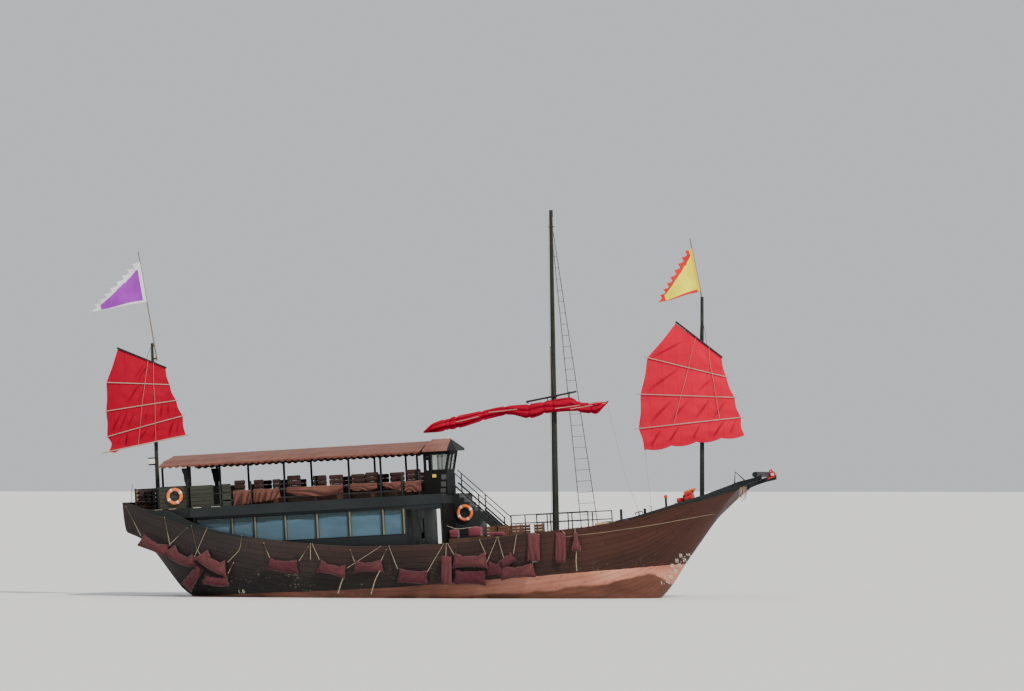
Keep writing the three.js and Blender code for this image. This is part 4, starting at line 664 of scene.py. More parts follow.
# Upper works: decks, front wall, stairs and rails
# The upper deck is laid boards on green-painted beams. Its sides, the saloon's walls, the wheelhouse and the
# stairs are painted joinery; the railings are painted steel.
upper_paint = boards(
    "upper_deck_finish", (0.10, 0.055, 0.033), (0.24, 0.150, 0.095), (0.015, 0.012, 0.010), 0.14
)
facing = upper_paint.axes(upper_paint.node("NewGeometry", output="Normal"))[2]
fade = upper_paint.worn(1.1, 0.0, 0.55, stretch=(0.5, 1, 1))
upper_paint.recolour(facing < 0.9, upper_paint.mix(fade, GREEN, GREEN_CHALK))
finish_of(upper_paint, "upper_deck")
rail_paint = painted_wood("rail_paint", (0.010, 0.012, 0.013), (0.035, 0.038, 0.040), 0.42)
finish_of(rail_paint, "rail_starboard", "rail_port", "foredeck_rail_starboard", "foredeck_rail_port", "stairs")
finish_of(
    green_paint, "saloon_side_starboard", "saloon_side_port", "saloon_front", "saloon_door", "awning_frame"
)
house_paint = painted_wood("house_paint", (0.0032, 0.0038, 0.0036), (0.011, 0.0125, 0.012), 0.7)
house_paint.feed("Specular IOR Level", 0.12)
finish_of(
    house_paint, "wheelhouse", "wheelhouse_door", "front_wall", "awning_posts_starboard",
    "awning_posts_port"
)


def saloon_glass():
    """Blue-grey window glass, grimy in patches, and darker along its top, above a level line."""
    m = Paint("window_glass", (0.055, 0.125, 0.165), 0.04, IOR=1.45, Alpha=0.80, Specular_IOR_Level=0.35)
    x, _, z = m.axes()
    level = z * math.cos(TRIM) - x * math.sin(TRIM) + m.worn(0.8, -0.05, 0.05)
    grime = m.worn(1.3, 0.0, 1.0, stretch=(0.6, 1, 2.0))
    m.feed("Base Color", m.mix(grime, (0.050, 0.108, 0.150), (0.075, 0.145, 0.195)))
    m.recolour(level.ranged(3.62, 3.66, 0.0, 0.85), (0.020, 0.040, 0.042))
    return m


finish_of(saloon_glass(), "saloon_glass_starboard", "saloon_glass_port")
clear_glass = Paint("cabin_glass", (0.16, 0.18, 0.16), 0.05, IOR=1.45, Alpha=0.35, Specular_IOR_Level=0.35)
finish_of(clear_glass, "wheelhouse_glass")
finish_of(deck_boards, "helm_console", "steering_wheel")
olive_paint = painted_wood("olive_paint", (0.022, 0.024, 0.016), (0.060, 0.062, 0.042), 0.6)
olive_strip = painted_wood("olive_strip", (0.13, 0.115, 0.070), (0.24, 0.21, 0.14), 0.6)
timber = boards("dark_timber", (0.035, 0.016, 0.010), (0.090, 0.044, 0.027), (0.010, 0.007, 0.005), 0.09)
rope_pale = painted_wood("rope_pale", (0.36, 0.31, 0.22), (0.52, 0.47, 0.36), 0.9)
curtain_cloth = painted_wood("curtain_cloth", (0.012, 0.011, 0.011), (0.035, 0.030, 0.030), 0.95)
# Ends of the gaps between the saloon's panes, the uprights' outer strips being on the fore half of each
PILLARS = (
    (-8.74, -8.60), (-7.73, -7.59), (-6.38, -6.24), (-4.98, -4.84), (-3.54, -3.40), (-2.07, -1.93),
    (-1.16, -1.03)
)
# Slatted panels behind the railings. Columns: aft end, fore end, outer face
PANELS = ((-10.43, -9.43, 2.520), (-9.04, -8.65, 2.520), (-11.90, -10.46, 2.315))


def wall(x):
    """How far out the saloon's side stands at x."""
    return 2.5 + 0.43 * (x + 10.4) / 9.45


def padded(name, shape, cloth, slot, fill, **more):
    """A soft piece with something inside it, smooth all over."""
    make(name, shape, cloth, slot, smooth=180, **more)


def tied_curtain(side):
    """A curtain gathered at a post: rings down its length, drawn in at the tie, with folds round them."""
    t, a = np.meshgrid(np.linspace(0, 1, 70), np.linspace(0, 2 * np.pi, 54, endpoint=False), indexing="ij")
    z = 6.10 - 1.20 * t
    heights = [4.90, 5.02, 5.12, 5.25, 5.7, 6.03, 6.10]
    wide = np.interp(z, heights, [0.080, 0.065, 0.032, 0.060, 0.125, 0.165, 0.17])
    folds = 0.20 * np.sin(5 * a + 3 * t + 1.1 * np.sin(2 * a)) + 0.09 * np.sin(11 * a - 5 * t)
    r = wide * (1 + folds + 0.05 * np.sin(19 * t))
    middle = np.interp(z, [4.9, 5.12, 6.03], [-10.56, -10.555, -10.59])
    return ringed(np.stack([middle + r * np.cos(a), side * (2.405 + 0.55 * r * np.sin(a)), z], -1))


for side, name in SIDES:
    strips = [
        box_of(((a + b) / 2, side * (wall(a) - 0.002), 2.80), (b, side * (wall(b) + 0.007), 3.85), 0.002)
        for a, b in PILLARS
    ]
    make(f"window_strips_{name}", together(strips), olive_strip, "battenWood")
    sills = [
        tube(
            [(-10.30, side * (wall(-10.30) + 0.004), z), (-1.12, side * (wall(-1.12) + 0.004), z)], 0.014, 6
        )
        for z in (2.785, 3.868)
    ]
    porch = [box_of((x, side * 2.86, 1.552), (x + 0.075, side * 2.935, 3.979)) for x in (-0.69, -0.42, 0.52)]
    porch.append(box_of((-0.95, side * 2.855, 3.80), (0.60, side * 2.94, 3.979)))
    make(f"window_mouldings_{name}", together(sills + porch), green_paint, "darkGreen")
    slats = [
        box_of((a, side * y, z), (b, side * (y + 0.013), z + 0.145), 0.004) for a, b, y in PANELS
        for z in np.arange(4.50, 5.20, 0.165)
    ]
    slats += [box_of((a, side * y, 4.40), (b, side * (y + 0.013), 4.492), 0.004) for a, b, y in PANELS]
    slats += [tube([(-10.43, side * 2.535, 4.94), (-8.65, side * 2.535, 4.94)], 0.014, 6)]
    make(f"slatted_panels_{name}", together(slats), olive_paint, "darkGreen")
    padded(f"tied_curtain_{name}", tied_curtain(side), curtain_cloth, "cushionCloth", 0.3)

# Wheelhouse trim
# The wheelhouse's roof is canvas aft and dark painted boards at its hip; its side has three louvred vents
# and a lamp box.
roof_finish = painted_wood("roof_finish", GREEN, GREEN_CHALK, 0.6)
canvas = roof_finish.mix(roof_finish.worn(2, 0, 1), (0.16, 0.062, 0.048), (0.24, 0.11, 0.09))
roof_finish.recolour(roof_finish.axes()[0] < 0.50, canvas)
finish_of(roof_finish, "wheelhouse_roof")
vent_paint = painted_wood("vent_paint", (0.10, 0.10, 0.095), (0.20, 0.20, 0.19), 0.6)
vents = []
for x0, x1, z0, z1 in ((0.50, 0.72, 5.00, 5.22), (0.47, 0.69, 4.70, 4.90), (0.44, 0.66, 4.45, 4.62)):
    for z in np.arange(z0, z1 - 0.02, 0.036):
        vents.append(box_of((x0, -2.262, z), (x1, -2.245, z + 0.020), 0.003))
make("wheelhouse_vents", together(vents), vent_paint, "railMetal")
lamp_yellow = painted_wood("lamp_yellow", (0.62, 0.42, 0.04), (0.75, 0.60, 0.18), 0.5)
make("wheelhouse_lamp", box_of((0.12, -2.30, 5.10), (0.285, -2.248, 5.235)), lamp_yellow, "yellowCloth")
lamp_white = painted_wood("lamp_white", (0.66, 0.66, 0.62), (0.78, 0.77, 0.72), 0.4)
lamps = [
    tube([(0.72, -1.6, 6.70), (0.72, -1.6, 6.80)], 0.05, 14),
    box_of((-12.90, -0.10, 6.40), (-12.61, 0.10, 6.64), 0.02), ball((9.47, -2.38, 3.41), 0.070)
]
make("lamps", together(lamps), lamp_white, "battenWood")
caps = [box_of((-12.91, -0.11, z), (-12.61, 0.11, z + 0.045), 0.01) for z in (6.352, 6.643)]
make("lamp_caps", together(caps), rail_paint, "railMetal")


# Cushions
# Loose box cushions along both sides of the upper deck and on the stern bench, in faded terracotta cotton.
def woven(name, colour, faded, thread=0.004, sheen=0.25, creases=0.5):
    """Plain-weave cloth: threads over and under at the given spacing, sun-faded patches and soft creases."""
    m = Paint(name, colour, 0.9, Specular_IOR_Level=0.15, Sheen_Weight=sheen, Sheen_Roughness=0.5)
    soft = m.worn(7.0, 0.0, 1.0, detail=6)
    m.feed("Base Color", m.mix(m.worn(1.6, 0.0, 1.0) * 0.7, colour, faded))
    m.recolour(soft * 0.3, tuple(0.6 * c for c in colour))
    warp, _, weft = ((axis * (2 * math.pi / thread)).math("SINE") for axis in m.axes())
    m.bump(soft * (4.0 * creases) + warp * weft * 0.25, 0.5, 0.003)
    return m


seat_cloth = woven("seat_cloth", (0.027, 0.0125, 0.0105), (0.060, 0.029, 0.025), sheen=0.1)
band_cloth = woven("band_cloth", (0.180, 0.078, 0.062), (0.300, 0.145, 0.115), sheen=0.1)
skirt_cloth = woven("skirt_cloth", (0.105, 0.037, 0.028), (0.215, 0.090, 0.068), sheen=0.1, creases=1.2)
# painted shade in the hollows of the folds
skirt_cloth.recolour(skirt_cloth.attribute("crease") * 0.8, (0.025, 0.010, 0.008))
maroon_cloth = woven("maroon_cloth", (0.12, 0.020, 0.032), (0.22, 0.055, 0.075))


def filled(points, faces, pinned=(), wider=0.0, pressure=4.0, weight=0.0, frames=24):
    """A closed case of cloth, blown up by Blender's cloth simulation: its points in the last frame. The cloth
    is wider than the case by a share, and hangs from its pinned points by a share of its weight."""
    mesh = bpy.data.meshes.new("filling")
    mesh.from_pydata(np.asarray(points).tolist(), [], faces)
    held = bpy.data.objects.new("filling", mesh)
    stage = bpy.context.scene
    stage.collection.objects.link(held)
    cloth = held.modifiers.new("cloth", "CLOTH")
    rules = cloth.settings
    if len(pinned):
        held.vertex_groups.new(name="pins").add([int(i) for i in pinned], 1.0, "REPLACE")
        rules.vertex_group_mass = "pins"
    rules.quality, rules.mass, rules.air_damping = 6, 0.3, 3.0
    rules.tension_stiffness = rules.compression_stiffness = 25
    rules.shear_stiffness, rules.bending_stiffness = 12, 0.2
    rules.use_pressure, rules.uniform_pressure_force = True, pressure
    rules.shrink_min = rules.shrink_max = -wider
    rules.effector_weights.gravity = weight
    cloth.point_cache.frame_start, cloth.point_cache.frame_end = 1, frames
    for moment in range(1, frames + 1):
        stage.frame_set(moment)
    shaped = held.evaluated_get(bpy.context.evaluated_depsgraph_get())
    result = np.zeros(len(points) * 3)
    shaped.data.vertices.foreach_get("co", result)
    stage.frame_set(1)
    bpy.data.objects.remove(held)
    return result.reshape(-1, 3)


def power(value, exponent):
    """A power of a value's size, with the value's sign."""
    return np.sign(value) * np.abs(value) ** exponent


def stuffed(e1, e2, size, pressure, rows=17, cols=22):
    """A cushion in a box from -1 to 1: it starts as a superellipsoid of the powers e1 along x and e2 round
    the section and is blown up at its real size, which swells it, draws in its sides and puckers its
    corners."""
    a = np.linspace(-0.5 * np.pi, 0.5 * np.pi, rows)[:, None]
    b = np.linspace(0, 2 * np.pi, cols, endpoint=False)[None, :]
    x = power(np.sin(a), e1) * np.ones_like(b)
    shape = np.stack(
        [x, power(np.cos(a), e1) * power(np.cos(b), e2), power(np.cos(a), e1) * power(np.sin(b), e2)], -1
    )
    points, faces = ringed(shape * size)
    points = points + 0.0015 * np.sin(np.arange(len(points))[:, None] * np.array([1.7, 2.3, 3.1]))
    points = filled(points, faces, wider=0.05, pressure=pressure, frames=16)
    low, high = points.min(0), points.max(0)
    return (points - (low + high) / 2) / (high - low) * 2, faces


BOX_CUSHION = stuffed(0.22, 0.30, (0.30, 0.24, 0.075), 0.8)
ROLL = stuffed(0.22, 0.85, (0.30, 0.062, 0.085), 2.0)


def cushion(low, high, kind=BOX_CUSHION):
    """A stuffed cushion of a kind, fitted into a box."""
    low, high = np.minimum(low, high), np.maximum(low, high)
    return kind[0] * (high - low) / 2 + (high + low) / 2, kind[1]


# Seat backs, each three rolls one above the other. Columns: aft end, fore end, top
BACKS = (
    (-8.54, -8.06, 5.46), (-7.68, -7.26, 5.44), (-6.86, -6.51, 5.42), (-6.21, -5.62, 5.535),
    (-4.88, -4.48, 5.43), (-4.375, -3.76, 5.46), (-3.41, -2.83, 5.44), (-2.79, -2.215, 5.48),
    (-1.67, -1.08, 5.42), (-1.00, -0.37, 5.50)
)
# Cloths hung over the rail. Columns: aft end, fore end, top at either end, bottom at aft end, middle and
# fore end, pleats
SKIRTS = (
    (-8.54, -7.77, 4.98, 4.98, 4.38, 4.41, 4.44, 3), (-7.65, -6.51, 5.00, 4.96, 4.47, 4.50, 4.60, 5),
    (-6.20, -3.74, 4.99, 4.97, 4.81, 4.59, 4.68, 1.4), (-3.40, -2.25, 4.99, 4.95, 4.785, 4.72, 4.76, 1.0),
    (-1.98, -1.21, 4.965, 4.965, 4.855, 4.73, 4.61, 1.5),
    (-1.03, -0.335, 4.96, 4.96, 4.566, 4.55, 4.53, 1.0)
)


def sheet(name, cloth, finish, slot, thickness, flat, held, rests_on, **more):
    """A sheet of cloth from its grid of points, given a thickness by a Solidify modifier."""
    points, faces = cloth.reshape(-1, 3), grid_faces(*cloth.shape[:2])
    piece = make(name, (points, faces), finish, slot, smooth=180, **more)
    thick = piece.modifiers.new("cloth", "SOLIDIFY")
    thick.thickness, thick.offset = thickness, 0
    mesh_area(points, faces)
    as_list(rests_on)


def skirt(low_x, high_x, z0, z1, b0, b1, b2, pleats, side):
    """A cloth from the rail's top bar down: straight at the bar, its lower edge through three heights. Few
    folds run along it as swags; many stand up and lean, first one way, then the other."""
    u, v = np.meshgrid(np.linspace(0, 1, 90), np.linspace(0, 1, 26), indexing="ij")
    x = low_x + (high_x - low_x) * u
    top = z0 + (z1 - z0) * u + 0.030
    bottom = b0 * (1 - u) * (1 - 2 * u) + 4 * b1 * u * (1 - u) + b2 * u * (2 * u - 1)
    upright = min(pleats / 4, 1)
    lean = (2.3 - 1.7 * upright) * v * (1 + 0.5 * np.sin(4 * u + pleats)) + 0.3 * upright * np.sin(9 * u) * v
    swing = np.sin(2 * np.pi * (pleats * u + lean) + 2 * np.sin(5 * u))
    y = 2.554 + (0.004 + 0.034 * v) * (0.5 + 0.5 * swing) + 0.008 * np.sin(19 * u + 4 * v) * v
    x = x + 0.03 * upright * v * np.sin(2 * np.pi * pleats * u + 1.0) + 0.05 * v * (u - 0.5)
    z = top + (bottom - top) * v + 0.018 * v * np.sin(2 * np.pi * max(pleats, 2) * u + 2.2)
    # the second value marks the folds' hollows, which are darkened as painted shade
    return np.stack([x, side * y, z], -1), (0.5 - 0.5 * swing) ** 1.3 * np.clip(3 * v, 0, 1)


for side, name in SIDES[::-1]:
    bench = [
        box_of((-8.54, side * 1.80, 4.405), (-0.92, side * 2.28, 4.70), 0.01),
        box_of((-8.55, side * 2.27, 4.85), (-0.38, side * 2.34, 4.99), 0.01),
    ]
    for a, b, top in BACKS:
        for x in ((a + b) / 2 - 0.13, (a + b) / 2 + 0.13):
            bench.append(box_of((x - 0.03, side * 2.19, 4.84), (x + 0.03, side * 2.215, top - 0.05)))
    make(f"bench_box_{name}", together(bench), timber, "hullWood")
    seat_x = np.linspace(-8.55, -0.91, 13)
    seats = [
        cushion((a + 0.01, side * 1.77, 4.70), (b - 0.01, side * 2.27, 4.84))
        for a, b in zip(seat_x[:-1], seat_x[1:])
    ]
    padded(
        f"seat_cushions_{name}", together(seats), seat_cloth, "cushionCloth", 0.6,
        replaces=(f"seats_{name}",)
    )
    rolls = []
    for a, b, top in BACKS:
        for low in np.linspace(4.88, top, 4)[:3]:
            high = low + (top - 4.88) / 3 - 0.004
            rolls.append(cushion((a, side * 2.215, low), (b, side * 2.348, high), ROLL))
    padded(
        f"back_cushions_{name}", together(rolls), seat_cloth, "cushionCloth", 0.7,
        replaces=(f"seat_backs_{name}",)
    )
    bands = []
    for k, row in enumerate(SKIRTS):
        cloth, creases = skirt(*row, side)
        x0, x1, z0, z1, *lower = row[:7]
        flat = ((x1 - x0) * 1.12, (max(z0, z1) + 0.03 - min(lower)) * 1.12)
        piece = f"rail_cloth_{name}_{k + 1}"
        sheet(piece, cloth, skirt_cloth, "cushionCloth", 0.003, flat, "hung", [f"rail_{name}"], crease=creases)
        middle = ((x0 + x1) / 2, side * 2.556, (z0 + z1) / 2 + 0.022)
        bands.append(
            tube(
                [(x0 + 0.01, side * 2.552, z0 + 0.028), middle, (x1 - 0.01, side * 2.552, z1 + 0.028)],
                0.016
            )
        )
    padded(f"rail_cloth_tops_{name}", together(bands), band_cloth, "cushionCloth", 0.5)

stern_box = [
    box_of((-13.16, -1.49, 4.36), (-12.72, 1.49, 4.66), 0.01),
    box_of((-13.19, -1.49, 4.66), (-13.10, 1.49, 5.30))
]
make("stern_bench_box", together(stern_box), timber, "hullWood", replaces=("stern_bench",))
stern = [cushion((-13.16, y, 4.66), (-12.71, y + 0.98, 4.805)) for y in (-1.49, -0.49, 0.51)]
stern += [
    cushion((-13.165, y, z), (-12.985, y + 0.98, z + 0.172), ROLL) for y in (-1.49, -0.49, 0.51)
    for z in (4.81, 4.985, 5.16)
]
padded("stern_cushions", together(stern), seat_cloth, "cushionCloth", 0.7)
ends = [
    tube([(-13.075, side * 1.485, z), (-13.075, side * 1.50, z)], 0.060, 16) for side in (-1, 1)
    for z in (4.895, 5.07, 5.245)
]
ends += [box_of((-13.15, side * 1.492, 4.79), (-12.72, side * 1.503, 4.815), 0.003) for side in (-1, 1)]
make("stern_cushion_ends", together(ends), moulding_paint, "battenWood")
make("stern_staff", tube([(-13.19, -2.1, 4.60), (-13.10, -2.1, 5.56)], 0.013, 8), rail_paint, "railMetal")
finish_of(seat_cloth, "saloon_seats")

# Foredeck and bow gear
# Wooden chairs and low lockers in the forward well with loose cushions, bollards and cleats on the rail,
# and a locker before the windlass with stowed lifejackets; a red ribbon and a rope tassel hang at the
# wings.
red_cloth = woven("red_cloth", (0.42, 0.012, 0.016), (0.58, 0.045, 0.040))
orange_cloth = woven("orange_cloth", (0.72, 0.14, 0.025), (0.85, 0.30, 0.09))
tan_cloth = woven("tan_cloth", (0.42, 0.30, 0.13), (0.60, 0.47, 0.25))
olive_cloth = woven("olive_cloth", (0.050, 0.058, 0.040), (0.11, 0.12, 0.085))
chair_wood = boards(
    "chair_wood", (0.050, 0.022, 0.012), (0.155, 0.070, 0.038), (0.020, 0.010, 0.006), 0.06, along=2
)


def chair(x, y, turned):
    """A slatted wooden armchair at a place on the well's deck, its back aft, or outboard where it is
    turned."""
    parts = [((dx, dy, 1.552), (dx + 0.04, dy + 0.04, 2.02)) for dx in (0, 0.40) for dy in (0, 0.40)]
    parts += [
        ((0, 0, 2.02), (0.44, 0.44, 2.06)), ((0, 0, 2.06), (0.035, 0.04, 2.93)),
        ((0, 0.40, 2.06), (0.035, 0.44, 2.93))
    ]
    parts += [((0.004, 0.04, z), (0.026, 0.40, z + 0.112)) for z in (2.28, 2.405, 2.53, 2.655, 2.78)]
    for arm in (0, 0.425):
        parts.append(((-0.01, arm - 0.02, 2.26), (0.42, arm + 0.035, 2.30)))
    for post in (0, 0.42):
        parts.append(((0.38, post - 0.01, 2.06), (0.42, post + 0.03, 2.26)))
    where = np.array([x, y, 0])
    for low, high in parts:
        if turned:
            low, high = (low[1], low[0], low[2]), (high[1], high[0], high[2])
            if y > 0:
                low, high = (low[0], -low[1], low[2]), (high[0], -high[1], high[2])
        yield box_of(where + low, where + high)


chairs = []
for x, y, turned in (
    (1.62, -1.75, 1), (2.18, -1.80, 1), (2.72, -1.72, 1), (3.26, -1.78, 1), (1.80, -1.10, 0),
    (2.40, -1.12, 0), (2.95, -1.10, 1), (3.55, -1.15, 0), (1.75, 0.8, 0), (2.35, 1.75, 1), (2.95, 1.75, 1),
    (3.55, 1.75, 1), (4.05, 1.0, 0), (1.62, 1.75, 1)
):
    chairs += chair(x, y, turned)
make("foredeck_chairs", together(chairs), chair_wood, "hullWood")
lockers = [box_of((0.72, side * 1.95, 1.552), (3.30, side * 2.50, 2.48), 0.01) for side in (-1, 1)]
lockers += [
    box_of((6.80, -0.38, 1.552), (7.45, 0.80, 2.62), 0.01),
    box_of((6.78, -1.30, 1.552), (7.35, -0.42, 2.62), 0.01),
    box_of((10.25, -1.22, 2.452), (11.02, -0.42, 3.46), 0.01)
]
make("deck_lockers", together(lockers), timber, "hullWood")
pads = [
    cushion((a, side * 2.0, 2.48), (b, side * 2.45, top))
    for side in (-1, 1) for a, b, top in ((0.74, 1.12, 2.86), (1.56, 2.12, 2.94), (2.5, 3.1, 2.66))
]
padded("maroon_cushions", together(pads), maroon_cloth, "cushionCloth", 0.8)
tan = [cushion((6.79, -1.28, 2.62), (7.33, -0.86, 2.82)), cushion((6.83, -0.86, 2.62), (7.34, -0.44, 2.80))]
padded("tan_cushions", together(tan), tan_cloth, "cushionCloth", 0.8)
padded("olive_cover", cushion((6.79, -0.36, 2.60), (7.46, 0.80, 2.86)), olive_cloth, "cushionCloth", 0.4)


def heaped(shape):
    """Cushions of a heap, raised the further forward they lie."""
    points, faces = shape
    return points + np.clip(points[:, :1] - 10.62, 0, 1) * (0, 0, 0.30), faces


heap = [
    cushion((10.66, -1.18, 3.455), (11.02, -0.46, 3.68)),
    cushion((10.62, -1.15, 3.64), (11.00, -0.48, 3.84)), cushion((10.30, -1.0, 3.455), (10.60, -0.55, 3.68))
]
padded("red_lifejackets", heaped(together(heap)), red_cloth, "sailCloth", 0.7)
upper_heap = heaped(cushion((10.64, -1.12, 3.80), (11.10, -0.52, 3.93)))
padded("orange_lifejackets", upper_heap, orange_cloth, "buoyOrange", 0.7)
metal = []
for side in (-1, 1):
    metal += [
        tube([(8.235, side * 2.70, 2.78), (8.235, side * 2.70, 3.32)], 0.058, 16),
        tube([(8.235, side * 2.82, 3.16), (8.235, side * 2.58, 3.16)], 0.024, 10)
    ]
    metal += [
        bent(
            [
                (8.80, side * 2.60, 3.06), (8.86, side * 2.60, 3.14), (9.06, side * 2.56, 3.18),
                (9.14, side * 2.54, 3.12)
            ],
            12, 0.022
        ),
        tube([(8.97, side * 2.56, 2.93), (8.97, side * 2.58, 3.16)], 0.026, 8)
    ]
    metal += [
        tube([(9.47, side * 2.38, 3.03), (9.47, side * 2.38, 3.38)], 0.014, 8),
        tube([(10.08, side * 2.20, 3.15), (10.08, side * 2.20, 3.70)], 0.050, 12)
    ]
metal.append(tube([(12.93, -1.62, 4.10), (12.99, -1.62, 4.62), (13.40, -1.62, 4.22)], 0.030, 8))
make("deck_metalwork", together(metal), rail_paint, "railMetal")
red_tops = [ball((10.08, side * 2.20, 3.74), 0.080) for side in (-1, 1)]
red_paint = painted_wood("red_paint", (0.48, 0.02, 0.02), (0.60, 0.10, 0.08), 0.5)
make("post_tops", together(red_tops), red_paint, "buoyOrange")
ribbon = [
    bent(
        [
            (13.10, 1.52, 4.10), (13.25, 1.60, 4.24), (13.72, 1.63, 4.27), (14.06, 1.64, 4.36),
            (14.14, 1.64, 4.48), (14.02, 1.64, 4.58), (13.92, 1.64, 4.48), (13.98, 1.64, 4.38)
        ],
        60, 0.034
    ),
    bent(
        [
            (14.02, 1.66, 4.52), (13.99, 1.68, 4.66), (13.90, 1.68, 4.60), (13.93, 1.66, 4.44),
            (13.84, 1.66, 4.30)
        ],
        30, 0.030
    )
]
padded("bow_ribbon", together(ribbon), red_cloth, "sailCloth", 0.3)


def strand(k):
    """One of the tassel's thirteen strands, which spread from its knot and hang each in its own bend."""
    share = k / 12
    knot = (13.14 + 0.28 * share, -1.46 - 0.02 * (k % 2), 4.00)
    middle = (13.10 + 0.31 * share + 0.03 * math.sin(3 * k), -1.49 - 0.03 * (k % 3), 3.72)
    end = (
        13.00 + 0.40 * share + 0.05 * math.sin(5 * k), -1.48 - 0.04 * (k % 2), 3.42 + 0.09 * math.sin(7 * k)
    )
    return bent([knot, middle, end], 16, np.linspace(0.013, 0.007, 16), 6)


make("bow_tassel_pale", together([strand(k) for k in range(0, 13, 2)]), rope_pale, "rope")
tassel_red = painted_wood("tassel_red", (0.16, 0.035, 0.030), (0.30, 0.09, 0.07), 0.9)
make("bow_tassel_red", together([strand(k) for k in range(1, 13, 2)]), tassel_red, "rope")
slack_ropes = [
    bent([(0.70, side * 2.62, 3.03), (1.21, side * 2.62, 2.87), (1.75, side * 2.62, 2.91)], 20, 0.010, 6)
    for side in (-1, 1)
]
make("slack_ropes", together(slack_ropes), rope_pale, "rope")


# Awning
# One stitched sheet of terracotta canvas over a ridge timber and two stringers, laced along its eaves, with
# a hanging scalloped edge darkened by painted shade, and a line of painted shade along the fold.
RIDGE_Z, FOLD, EAVE, VALANCE = 6.70, (2.0, 6.45), (2.9, 6.24), 0.12
SCALLOP = 0.29
awning_cloth = woven("awning_cloth", (0.160, 0.053, 0.035), (0.275, 0.108, 0.075), thread=0.006, sheen=0.1)
# a dark line along the fold is painted shade where the canvas bends over the stringer; the streaks are real
fold_shade = (awning_cloth.axes()[1].math("ABSOLUTE") - (FOLD[0] + 0.02)).math("ABSOLUTE") < 0.035
streaks = awning_cloth.worn(1.0, 0.0, 0.32, detail=3, stretch=(7, 0.2, 0.2))
awning_cloth.recolour(streaks.math("MAXIMUM", fold_shade * 0.6), (0.060, 0.024, 0.018))
# the hanging edge is darkened as painted shade under the scallops
awning_cloth.recolour(awning_cloth.attribute("hem") * 0.75, (0.050, 0.019, 0.015))


def awning_sheet(u, v):
    """The canvas: v is the run from the ridge, to port positive, and u goes from aft to fore. It slopes down
    to the fold, more steeply to the eave, and hangs; it sags between the beams and is drawn in at the
    stringers' lashings."""
    upper = math.hypot(FOLD[0], RIDGE_Z - FOLD[1])
    half = EAVE[0] - 0.014
    lower = math.hypot(half - FOLD[0], FOLD[1] - EAVE[1])
    run = np.abs(v)
    y = np.interp(run, [0, upper, upper + lower], [0, FOLD[0], half])
    z = np.interp(run, [0, upper, upper + lower], [RIDGE_Z - 0.006, FOLD[1], EAVE[1]])
    down = np.clip(run - upper - lower, 0, None)
    share = y / half
    aft, fore = -11.78 + 0.13 * share, -0.245
    x = aft + (fore - aft) * u
    beams = np.array([-11.8, -11.7, -10.53, -9.12, -7.7, -6.3, -4.9, -3.47, -2.08, -0.48, -0.24])
    between = np.interp(x, beams, np.arange(len(beams)))
    slack = np.sin(np.pi * (between - np.floor(between))) ** 2
    fold_dip = np.exp(-(((run - upper) / 0.16) ** 2))
    z = z - 0.020 * slack * np.sin(np.pi * np.clip(run / upper, 0, 1)) - 0.016 * slack * fold_dip
    z = z + 0.006 * np.sin(5.3 * x + 3 * y) * np.sin(2.1 * x - 4 * y) * np.clip(run / 0.4, 0, 1) - down
    edge = 0.5 - 0.5 * np.cos(2 * np.pi * x / SCALLOP)
    deep = np.clip(down / VALANCE, 0, 1)
    z = z + 0.062 * (1 - edge) ** 1.5 * deep ** 2
    y = np.sign(v) * (y + 0.011 * np.sin(2 * np.pi * x / SCALLOP + 1.2) * deep)
    return np.stack([x, y, z], -1), deep


reach = math.hypot(FOLD[0], RIDGE_Z - FOLD[1]) + math.hypot(EAVE[0] - 0.014 - FOLD[0], FOLD[1] - EAVE[1])
runs = np.concatenate([np.linspace(0, reach, 33), reach + np.linspace(0, VALANCE - 0.004, 7)[1:]])
u, v = np.meshgrid(np.linspace(0, 1, 481), np.concatenate([-runs[:0:-1], runs]), indexing="ij")
cloth, hem = awning_sheet(u, v)
awning = make(
    "awning_canvas", (cloth.reshape(-1, 3), grid_faces(*u.shape)), awning_cloth, "awningCloth",
    replaces=("awning",), smooth=50, hem=hem
)
thick = awning.modifiers.new("cloth", "SOLIDIFY")
thick.thickness, thick.offset = 0.004, -1

# Lifebuoys
# Foam-filled rings with an orange skin, four white bands and a grab line, hung on the railings and by the
# stairs.
buoy_orange = Paint("buoy_orange", (0.78, 0.14, 0.03), 0.38)
skin = buoy_orange.mix(buoy_orange.worn(5, 0, 1), (0.78, 0.14, 0.03), (0.62, 0.17, 0.06))
buoy_orange.feed("Base Color", buoy_orange.mix(buoy_orange.attribute("band"), skin, (0.72, 0.70, 0.64)))
buoy_orange.bump(buoy_orange.worn(30, 0, 1), 0.2, 0.002)


def buoy(centre, name):
    """A ring of tube: round the ring by one angle and round the tube by the other; the bands stand out by 2
    mm."""
    a = np.linspace(0, 2 * np.pi, 72, endpoint=False)[:, None]
    b = np.linspace(0, 2 * np.pi, 20, endpoint=False)[None, :]
    banded = (np.abs(((a / (0.5 * np.pi) + 0.5) % 1) - 0.5) < 0.11) * np.ones_like(b)
    r = 0.073 + 0.002 * banded
    ring = 0.29 + r * np.cos(b)
    points = np.stack([ring * np.cos(a + 0.5), -r * np.sin(b) * 0.93, ring * np.sin(a + 0.5)], -1) + centre
    make(
        name, (points.reshape(-1, 3), grid_faces(72, 20, True, True)), buoy_orange, "buoyOrange",
        replaces=(name[:-5],), smooth=180, band=banded
    )


for name, centre in (
    ("lifebuoy_starboard_ring", (-11.17, -2.3905, 4.93)), ("lifebuoy_port_ring", (-11.17, 2.3905, 4.93)),
    ("lifebuoy_stairs_ring", (1.10, -0.7555, 3.54))
):
    buoy(np.array(centre), name)

